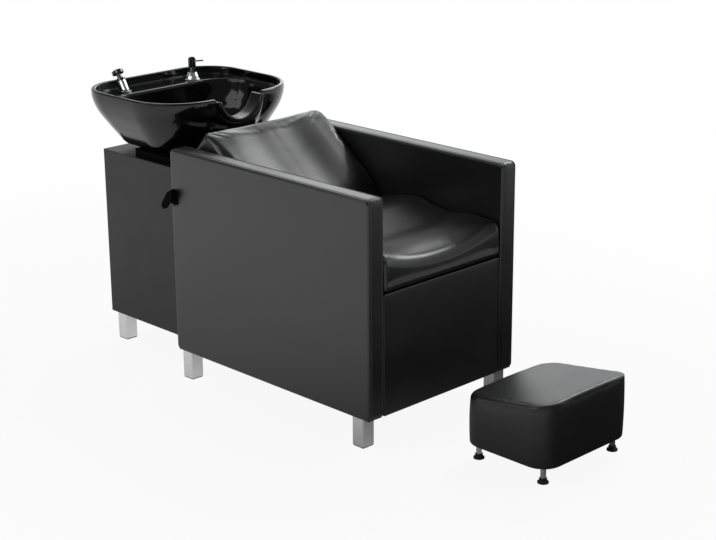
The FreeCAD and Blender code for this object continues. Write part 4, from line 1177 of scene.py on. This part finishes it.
@dataclass
class BackPad:
    """The back cushion on its slope, with shallow flutes along it."""
    thick: float = 0.112
    core: float = 0.088
    length: float = 0.390
    slope: float = math.radians(37)
    foot_y: float = 0.487
    foot_z: float = 0.5435
    side_gap: float = 0.0012
    shoulder: float = 0.014
    end_round: float = 0.018
    corner: float = 0.034
    flute: float = 0.160
    flute_depth: float = 0.0013
    flute_start: tuple[float, float] = (0.02, 0.35)
    profile: Profile = Profile((
        (-0.02, 0.740, 0.690), (0.040, 0.820, 0.740), (0.200, 0.990, 0.860),
        (0.400, 1.050, 0.885), (0.620, 1.080, 0.900), (0.800, 1.070, 0.940),
        (0.900, 1.040, 0.970), (0.960, 1.000, 0.960), (1.02, 0.93, 0.91)), 1.5)
    stuffing: Stuffing = field(default_factory=lambda: Stuffing(cap=0.006))

    def edge(self, ways: Array) -> Array:
        """The edge's radius: full at both ends, tighter at the sides."""
        return self.end_round + (self.shoulder - self.end_round) * ways[:, 0] ** 2

    def sloped(self, points: Array, middle_x: float) -> Array:
        """Turns the cushion from lying flat about the line along its foot.

        Args:
            points: its points as rows of three, about its middle.
            middle_x: the place of its middle across.

        Returns:
            The points in the row frame.
        """
        across, along, out = points.T
        along = along + self.length / 2
        cosine, sine = math.cos(self.slope), math.sin(self.slope)
        return np.column_stack([across + middle_x,
                                along * cosine - out * sine + self.foot_y + FRONT_Y,
                                along * sine + out * cosine + self.foot_z])

    def build(self) -> None:
        """Builds and dresses the cushion, which is made flat and then sloped."""
        low, high = box_of("back_cushion")
        half = (high[0] - low[0]) / 2
        flat = half - self.shoulder

        def top(x: Array, y: Array) -> Array:
            """The top's height over the line along the foot.

            Formula: the profile, and a cosine across with one crest in the middle and
            one towards each side, which fades out at the foot.

            Args:
                x: places across.
                y: places along.

            Returns:
                The height at each place.
            """
            share = y / self.length + 0.5
            flutes = self.flute_depth * np.cos(2 * np.pi * x / self.flute)
            flutes *= smooth_step(share, *self.flute_start)
            flutes *= 1.0 - smooth_step(np.abs(x), self.flute, flat)
            return -self.core + self.thick * self.profile.at(share, x / flat) + flutes

        pad = Pad(half - self.side_gap, self.length / 2, self.corner, self.edge, side=56,
                  top_rows=56)
        piece = pad.rings(top, -self.core).piece("back_pad", (0.0, 0.0, 0.0))
        self.stuffing.swell(piece, -self.core)
        move_points(piece.data, self.sloped(points_of(piece.data), (low[0] + high[0]) / 2))
        finish_piece(piece, "seat_carriage", Finish.SEAT_CLOTH, CLOTH_SLOT,
                     "back_cushion", fill=0.75)


@dataclass
class StoolPad:
    """The footstool's wedge: high in front, low towards the chair, with a crisp edge."""
    corner: float = 0.062
    side_gap: float = 0.002
    front_top: float = 0.242
    rear_top: float = 0.196
    crown: float = 0.006
    crown_share: float = 0.15
    bottom: float = 0.049
    crisp: float = 0.006
    softer: float = 0.010
    stuffing: Stuffing = field(default_factory=lambda: Stuffing(cap=0.0012, pressure=1.0))

    def edge(self, ways: Array) -> Array:
        """The edge's radius: crisp in front, softer at the sides and the rear."""
        return self.crisp + self.softer * np.clip(ways[:, 1] + np.abs(ways[:, 0]), 0, 1)

    def build(self) -> None:
        """Builds and dresses the wedge."""
        low, high = box_of("stool_cushion")
        middle, half = (low + high) / 2, (high - low) / 2

        def top(x: Array, y: Array) -> Array:
            """The top's height over a place of the footprint.

            Formula: a plane that falls from front to rear, with a crown that is a
            parabola across.

            Args:
                x: places across.
                y: places along.

            Returns:
                The height at each place.
            """
            share = (y + half[1]) / (2 * half[1])
            fall = (1 + self.crown_share) * (x / half[0]) ** 2 - self.crown_share
            return between(self.front_top, self.rear_top, share) - self.crown * fall

        pad = Pad(half[0] - self.side_gap, half[1] - self.side_gap, self.corner,
                  self.edge, side=34, corner_steps=16, bulge=0.002, edge_low=0.005,
                  seam_in=0.004, seam_depth=0.0012)
        piece = pad.rings(top, self.bottom).piece("stool_pad", (*middle[:2], 0.0))
        self.stuffing.swell(piece, self.bottom)
        finish_piece(piece, "footstool", Finish.ARM_CLOTH, CLOTH_SLOT, "stool_cushion",
                     fill=0.85)


# Bowl

@dataclass
class BowlShell:
    """The wash bowl: rounded loops from below the drain to the rim and back down.

    A row of outer and of basin holds a height from 0 to 1, the width's share there, how
    far the front and the rear have moved in as shares of the length, and the corner's
    share. Lengths along the bowl are counted from the chair's front plane.
    """
    half: float = 0.288
    front: float = 0.883
    rear: float = 1.371
    rim: float = 0.854
    bottom: float = 0.678
    corner: float = 0.138
    broad: float = 1.31
    lip: float = 0.0045
    rim_width: float = 0.014
    foot_round: float = 0.008
    foot_flat: float = 0.6
    wall_span: tuple[float, float] = (0.05, 0.93)
    deck_drop: float = 0.029
    deck_round: tuple[float, float] = (0.004, 0.006)
    basin_side: float = 0.020
    basin_front: float = 0.022
    basin_rear: float = 0.112
    basin_edge: tuple[float, float] = (0.003, 0.004)
    basin_bend: tuple[float, float] = (0.020, 0.12)
    basin_top: float = 0.95
    floor_thick: float = 0.010
    drain_y: float = 1.105
    drain: float = 0.0215
    neck_radius: float = 0.098
    neck_depth: float = 0.084
    neck_soft: float = 0.006
    neck_base: float = 0.024
    neck_fade: tuple[float, float] = (0.045, 0.120)
    neck_clear: float = 0.05
    least_corner: float = 0.002
    outer: tuple = (
        (0.00, 0.720, 0.142, 0.165, 0.74), (0.12, 0.764, 0.120, 0.139, 0.78),
        (0.36, 0.860, 0.071, 0.082, 0.87), (0.65, 0.960, 0.020, 0.024, 0.96),
        (0.95, 1.000, 0.000, 0.000, 1.00), (1.00, 0.998, 0.001, 0.001, 1.00))
    basin: tuple = (
        (0.00, 0.670, 0.230, 0.120, 0.62), (0.15, 0.800, 0.150, 0.070, 0.72),
        (0.50, 0.920, 0.070, 0.030, 0.82), (1.00, 1.000, 0.000, 0.000, 0.86))
    side: int = 34
    turn: int = 20
    under_rows: int = 7
    foot_rows: int = 6
    wall_rows: int = 40
    lip_rows: int = 9
    drop_rows: int = 5
    deck_bend_rows: int = 6
    deck_rows: int = 10
    edge_rows: int = 7
    basin_rows: int = 36
    bend_rows: int = 8
    floor_rows: int = 12

    @property
    def deck(self) -> float:
        """The height of the deck inside the rim."""
        return self.rim - self.deck_drop

    @property
    def floor(self) -> float:
        """The height of the basin's floor."""
        return self.bottom + self.floor_thick

    @property
    def neck_axis(self) -> float:
        """The height of the axis that the neck recess is round about."""
        return self.rim - self.neck_depth + self.neck_radius

    def loop(self, half: float, front: float, rear: float, corner: float,
             height: float, grow: float = 0.0) -> Array:
        """One level of the bowl: a rounded rectangle, wider rounded in front.

        Formula: straight runs and quarter circles, with one radius at the rear and a
        larger one in front; the number of points on each part never changes.

        Args:
            half: half the width.
            front: the front's place.
            rear: the rear's place.
            corner: the rear corners' radius.
            height: the level.
            grow: how far the loop is moved out.

        Returns:
            The loop's points in the row frame.
        """
        half, front, rear = half + grow, front - grow, rear + grow
        tight = max(corner + grow, self.least_corner)
        wide = min(max(self.broad * corner + grow, self.least_corner), half - 1e-4)
        angles = np.linspace(0, RIGHT_ANGLE, self.turn + 1)
        steps = spread(self.side + 1)[1:-1]
        right = np.vstack([
            np.column_stack([half - wide + wide * np.sin(angles),
                             front + wide - wide * np.cos(angles)]),
            np.column_stack([np.full(len(steps), half),
                             front + wide + (rear - tight - front - wide) * steps]),
            np.column_stack([half - tight + tight * np.cos(angles),
                             rear - tight + tight * np.sin(angles)])])
        dense = 0.5 - 0.5 * np.cos(np.pi * spread(2 * self.side + 1)[1:-1])
        rear_run = np.column_stack([(half - tight) * (1 - 2 * dense),
                                    np.full(len(dense), rear)])
        front_run = np.column_stack([(half - wide) * (2 * dense - 1),
                                     np.full(len(dense), front)])
        left = right[::-1] * [-1.0, 1.0]
        flat = np.vstack([right, rear_run, left, front_run])
        return at_height(flat + [MIDDLE_X, FRONT_Y], height)

    def level(self, table: tuple, height: float) -> list[float]:
        """The numbers of a table at a height, on smooth curves."""
        at = np.array([height])
        return [float(through(table, column, at)[0]) for column in range(1, 5)]

    def outside(self, height: float, grow: float = 0.0) -> Array:
        """A loop of the outer wall.

        Args:
            height: 0 at the bottom and 1 at the rim.
            grow: how far the loop is moved out.

        Returns:
            The loop's points in the row frame.
        """
        wide, front, rear, corner = self.level(self.outer, height)
        depth = self.rear - self.front
        return self.loop(wide * self.half, self.front + front * depth,
                         self.rear - rear * depth, corner * self.corner,
                         self.bottom + height * (self.rim - self.bottom), grow)

    def inside(self, height: float, grow: float = 0.0) -> Array:
        """A loop of the basin.

        Args:
            height: 0 at the basin's floor and 1 at the deck.
            grow: how far the loop is moved out.

        Returns:
            The loop's points in the row frame.
        """
        wide, front, rear, corner = self.level(self.basin, height)
        first, last = self.front + self.basin_front, self.rear - self.basin_rear
        return self.loop(wide * (self.half - self.basin_side),
                         first + front * (last - first), last - rear * (last - first),
                         corner * self.corner,
                         self.floor + height * (self.deck - self.floor), grow)

    def saddle(self, points: Array) -> Array:
        """Lowers the front wall below the round neck recess.

        Formula: above a base level each height is scaled so that the rim meets a
        circle about an axis along the bowl; the effect fades out behind the front
        wall, and the recess's upper corners are rounded.

        Args:
            points: rows by columns by three.

        Returns:
            The changed points.
        """
        x, y, z = np.moveaxis(points, -1, 0)
        x, radius = np.abs(x - MIDDLE_X), self.neck_radius
        circle = self.neck_axis - np.sqrt(np.maximum(radius**2 - x**2, 0.0))
        edge = np.where(x < radius, circle, self.rim + self.neck_clear)
        over = (self.rim - edge) / self.neck_soft
        limit = self.rim - self.neck_soft * np.log1p(np.exp(np.clip(over, -40, 40)))
        base = self.bottom + self.neck_base
        share = (z - base) / (self.rim - base)
        lowered = np.where(z > base, base + share * (limit - base), z)
        near, far = (self.front + reach for reach in self.neck_fade)
        fade = 1.0 - smooth_step(y - FRONT_Y, near, far)
        changed = points.copy()
        changed[..., 2] = z * (1 - fade) + lowered * fade
        return changed

    def outer_rows(self, hole: Array) -> list[Array]:
        """The rows from the drain hole along the underside and up to below the lip.

        Args:
            hole: the drain hole's lower edge.

        Returns:
            The rows.
        """
        foot = at_height(self.outside(0.0, -self.foot_round), self.bottom)
        rows = [between(hole, foot, t) for t in spread(self.under_rows)[:-1]]
        for _, lack, loss in quarter_turn(self.foot_rows):
            rows.append(at_height(self.outside(0.0, -self.foot_round * lack),
                                  self.bottom + self.foot_round * loss * self.foot_flat))
        return rows + [self.outside(height)
                       for height in np.linspace(*self.wall_span, self.wall_rows)]

    def rim_rows(self) -> list[Array]:
        """The rows over the lip, down inside the rim and round into the deck.

        Returns:
            The rows.
        """
        rows = [at_height(self.outside(1.0, -self.lip * loss), self.rim - self.lip * lack)
                for _, lack, loss in quarter_turn(self.lip_rows)]
        wall = (self.half - self.rim_width, self.front + self.rim_width,
                self.rear - self.rim_width, self.corner - self.rim_width / self.broad)
        rows += [self.loop(*wall, self.rim - self.lip * loss, self.lip * lack)
                 for _, lack, loss in quarter_turn(self.lip_rows)]
        across, down = self.deck_round
        drops = np.linspace(self.rim - self.lip, self.deck + down, self.drop_rows)[1:]
        rows += [self.loop(*wall, height) for height in drops]
        return rows + [self.loop(*wall, self.deck + down * lack, -across * loss)
                       for _, lack, loss in quarter_turn(self.deck_bend_rows)[1:]]

    def inner_rows(self, start: Array, hole: Array) -> list[Array]:
        """The rows in along the deck, down the basin and along its floor to the drain.

        Args:
            start: the row at the deck's outer edge.
            hole: the drain hole's lower edge.

        Returns:
            The rows, which end with the drain hole's lower edge.
        """
        across, down = self.basin_edge
        stop = self.inside(1.0, across)
        rows = [at_height(between(start, stop, t), self.deck)
                for t in spread(self.deck_rows)[1:-1]]
        rows += [at_height(self.inside(1.0, across * lack), self.deck - down * loss)
                 for _, lack, loss in quarter_turn(self.edge_rows)]
        inset, bend = self.basin_bend
        rows += [self.inside(height)
                 for height in np.linspace(self.basin_top, bend, self.basin_rows)]
        for turn, lack, loss in quarter_turn(self.bend_rows)[1:]:
            row = self.inside(bend * (1 - turn / RIGHT_ANGLE), -inset * loss)
            rows.append(at_height(row, between(self.floor, self.deck, bend * lack)))
        first = rows[-1]
        rows += [at_height(between(first, hole, t), self.floor)
                 for t in spread(self.floor_rows)[1:]]
        return [*rows, hole]

    def build(self) -> None:
        """Builds and dresses the shell.

        Formula: the rows run from the drain hole's lower edge out along the bottom, up
        the outside, round the lip, down to the deck, in to the basin's rounded edge,
        down its wall, and along its floor to the drain hole.
        """
        hole = self.loop(self.drain, self.drain_y - self.drain,
                         self.drain_y + self.drain, self.drain / self.broad - 1e-4,
                         self.bottom)
        rows = self.outer_rows(hole) + self.rim_rows()
        rows += self.inner_rows(rows[-1], hole)
        piece = weld(surface("bowl_skin", self.saddle(np.array(rows))), 2e-6)
        finish_piece(piece, "wash_bowl", Finish.SHELL, "black_gloss", "bowl_shell")


@dataclass
class NeckPad:
    """The soft saddle in the neck recess: a lipped profile carried round a half circle."""
    axis: float = BowlShell().neck_axis
    radius: float = 0.0975
    thick: float = 0.012
    front: float = 0.871
    width: float = 0.058
    lip: float = 0.0015
    end_angle: float = 0.06
    end_narrow: float = 0.07
    squareness: float = 0.45
    lip_start: float = 0.2
    least_sine: float = -0.95
    rows: int = 90
    columns: int = 40

    def squared(self, wave: Array) -> Array:
        """A sine or cosine made squarer: its size raised to a small power."""
        return np.sign(wave) * np.abs(wave) ** self.squareness

    def build(self) -> None:
        """Builds and dresses the saddle.

        Formula: at each angle of the arc a closed profile stands across it: a rounded
        rectangle whose front end swells outwards into a lip. Both ends of the arc are
        rounded off by a quarter circle.
        """
        _, high = box_of("neck_rest")
        middle = self.radius - self.thick / 2
        stop = math.asin(max(self.least_sine, (high[2] - self.axis) / middle))
        angles = np.linspace(-math.pi - stop, stop, self.rows)
        turn = np.linspace(0, 2 * np.pi, self.columns, endpoint=False)
        across, thick = self.squared(np.cos(turn)), self.squared(np.sin(turn))
        from_end = np.minimum(angles - angles[0], angles[-1] - angles) / self.end_angle
        ends = np.sqrt(1 - (1 - np.clip(from_end, 0, 1)) ** 2)[:, None]
        lip = self.lip * smooth_step(-across, self.lip_start, 1.0)
        radial = middle - thick * (self.thick / 2 + lip) * ends
        along = self.front + self.width / 2 * (
            1 + across * (1 - self.end_narrow * (1 - ends)))
        points = np.stack([MIDDLE_X + radial * np.cos(angles)[:, None],
                           along + FRONT_Y,
                           self.axis + radial * np.sin(angles)[:, None]], -1)
        piece = weld(surface("neck_saddle", points, ends=(True, True)))
        finish_piece(piece, "wash_bowl", Finish.NECK, "neck_pad", "neck_rest")


# Hard pieces

@dataclass
class CarriedParts:
    """The nodes whose shape is right: each keeps its mesh and gets a finish."""
    finishes: dict[Finish, tuple[str, ...]] = field(default_factory=lambda: {
        Finish.CABINET: ("rear_panel", "cabinet_near_side", "cabinet_far_side",
                         "cabinet_top", "cabinet_floor", "service_panel"),
        Finish.TIMBER: ("near_arm_panel", "far_arm_panel", "front_panel_board",
                        "front_cross_rail", "rear_cross_rail", "seat_board",
                        "back_board", "stool_board"),
        Finish.CHROME: ("mixer_flange", "mixer_body", "shower_holder", "drain_body",
                        "drain_strainer", "stool_stems"),
        Finish.SMOKED: ("mixer_cap", "mixer_lever", "hand_shower"),
        Finish.LEG: ("near_front_leg", "near_rear_leg", "near_cabinet_leg",
                     "far_front_leg", "far_rear_leg", "far_cabinet_leg"),
        Finish.STEEL: ("slide_channels", "slide_runners", "back_brackets",
                       "lever_shaft", "clamp_cam", "clamp_bar",
                       "tilt_bracket_fixed", "tilt_bracket_bowl", "tilt_pin",
                       "service_panel_screws", "deck_nuts"),
        Finish.GAITER: ("side_lever", "lever_plate", "bowl_base"),
        Finish.BLACK_PLASTIC: ("lever_bush", "leg_glides", "stool_foot_front_near",
                               "stool_foot_front_far", "stool_foot_rear_near",
                               "stool_foot_rear_far", "spray_face"),
        Finish.WASTE_PLASTIC: ("drain_nut", "waste_tail"),
    })

    def build(self) -> None:
        """Gives every carried node its finish."""
        for finish, names in self.finishes.items():
            for name in names:
                finish.coat(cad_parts[name])
            LOG.info("%s: %d nodes", finish.name, len(names))


# Studio

@dataclass
class Studio:
    """Camera, floor, lamps and world.

    A softbox holds its place, the point that it faces, its width and height, and its
    power in watts.
    """
    azimuth: float = math.radians(-44.46)
    elevation: float = math.radians(17.86)
    roll: float = math.radians(-0.40)
    distance: float = 5.395
    target: Triple = (0.15285, 0.0585, 0.3391)
    focal_pixels: float = 1715.77
    middle: tuple[float, float] = (361.46, 267.49)
    frame_size: tuple[float, float] = (716.0, 540.0)
    sensor: float = 36.0
    far_clip: float = 60.0
    floor_reach: float = 14.0
    walls: tuple[tuple[Triple, float], ...] = (((0.55, 0.78, 0.30), 0.42),
                                               ((0.95, 0.0, 0.28), 0.70))
    bright_from: tuple[float, float] = (0.45, 0.95)
    dark: float = 0.15
    room_colour: Triple = (0.97, 0.985, 1.0)
    softboxes: dict[str, tuple] = field(default_factory=lambda: {
        "left_softbox": ((-1.6, 0.3, 1.7), (-1.4, 0.3, 0.0), (0.9, 1.2), 6.0),
        "far_left_softbox": ((-3.2, 1.6, 2.4), (-2.2, 1.0, 0.0), (1.6, 1.6), 14.0),
        "rear_softbox": ((2.6, 2.6, 1.6), (0.0, 0.0, 0.5), (1.6, 1.4), 7.0),
        "rear_high_softbox": ((1.35, 1.95, 2.3), (0.0, 0.0, 0.5), (1.4, 1.2), 8.0),
        "overhead_softbox": ((2.05, -0.08, 2.2), (0.0, 0.0, 0.5), (0.9, 0.9), 20.0)})

    def camera(self) -> None:
        """Places the camera that was fitted to the photograph."""
        back = Vector((math.sin(self.azimuth) * math.cos(self.elevation),
                       -math.cos(self.azimuth) * math.cos(self.elevation),
                       math.sin(self.elevation)))
        right = Vector((0, 0, 1)).cross(back).normalized()
        up = back.cross(right)
        turned = right * math.cos(self.roll) + up * math.sin(self.roll)
        raised = up * math.cos(self.roll) - right * math.sin(self.roll)
        width, height = self.frame_size
        lens = bpy.data.cameras.new("photo_camera")
        lens.sensor_width = self.sensor
        lens.lens = self.focal_pixels * self.sensor / width
        lens.shift_x = (width / 2 - self.middle[0]) / width
        lens.shift_y = (self.middle[1] - height / 2) / width
        lens.clip_end = self.far_clip
        camera = bpy.data.objects.new("photo_camera", lens)
        place = Vector(self.target) + back * self.distance
        camera.matrix_world = Matrix((*zip(turned, raised, back, place), (0, 0, 0, 1)))
        bpy.context.scene.collection.objects.link(camera)
        bpy.context.scene.camera = camera

    def lamp(self, name: str, place: Triple, toward: Triple,
             size: tuple[float, float], power: float) -> None:
        """Adds one soft rectangular lamp.

        Args:
            name: its name.
            place: where it stands.
            toward: the point that it faces.
            size: its width and height.
            power: its power in watts.
        """
        light = bpy.data.lights.new(name, "AREA")
        light.shape = "RECTANGLE"
        light.size, light.size_y = size
        light.energy = power
        lamp = bpy.data.objects.new(name, light)
        lamp.location = place
        facing = Vector(toward) - Vector(place)
        lamp.rotation_euler = facing.to_track_quat("-Z", "Y").to_euler()
        bpy.context.scene.collection.objects.link(lamp)

    def floor(self) -> None:
        """Lays a wide floor that is not part of the object."""
        reach = self.floor_reach
        corners = [(-reach, -reach, 0), (reach, -reach, 0), (reach, reach, 0),
                   (-reach, reach, 0)]
        mesh = bpy.data.meshes.new("floor")
        mesh.from_pydata(corners, [], [(0, 1, 2, 3)])
        mesh.materials.append(Backdrop().make())
        ground = bpy.data.objects.new("floor", mesh)
        bpy.context.scene.collection.objects.link(ground)

    def world(self) -> None:
        """A room with pale walls behind and to the right, white to the camera.

        Formula: each wall's brightness rises smoothly with the direction's share
        towards it, as 3t squared less 2t cubed.
        """
        world = bpy.data.worlds.new("studio")
        world.use_nodes = True
        bpy.context.scene.world = world
        tree = Tree(world.node_tree)
        way = tree.node("ShaderNodeTexCoord").outputs["Generated"]
        path = tree.node("ShaderNodeLightPath")
        level = self.dark
        for side, wall in self.walls:
            along = tree.vector("DOT_PRODUCT", way, side)
            lit = Shade(tree, along.outputs["Value"]).above(*self.bright_from)
            level = lit * lit * (3.0 - 2.0 * lit) * wall + level
        room = tree.node("ShaderNodeBackground", inputs={
            "Color": (*self.room_colour, 1.0), "Strength": level})
        white = tree.node("ShaderNodeBackground", inputs={
            "Color": (1.0, 1.0, 1.0, 1.0), "Strength": 1.0})
        mix = tree.node("ShaderNodeMixShader", inputs={
            0: path.outputs["Is Camera Ray"], 1: room.outputs[0], 2: white.outputs[0]})
        tree.node("ShaderNodeOutputWorld", inputs={0: mix.outputs[0]})

    def build(self) -> None:
        """Sets up the whole studio."""
        self.camera()
        self.floor()
        self.world()
        for name, numbers in self.softboxes.items():
            self.lamp(name, *numbers)
        bpy.context.scene.view_settings.view_transform = "Standard"


def main() -> None:
    """Builds every piece in order."""
    logging.basicConfig(level=logging.INFO, format="%(name)s: %(message)s")
    Studio().build()
    CarriedParts().build()
    for maker in (ArmPads(), FrontApron(), SeatPad(), BackPad(), StoolPad(),
                  BowlShell(), NeckPad()):
        maker.build()
        LOG.info("%s done", type(maker).__name__)


if __name__ == "__main__":
    main()
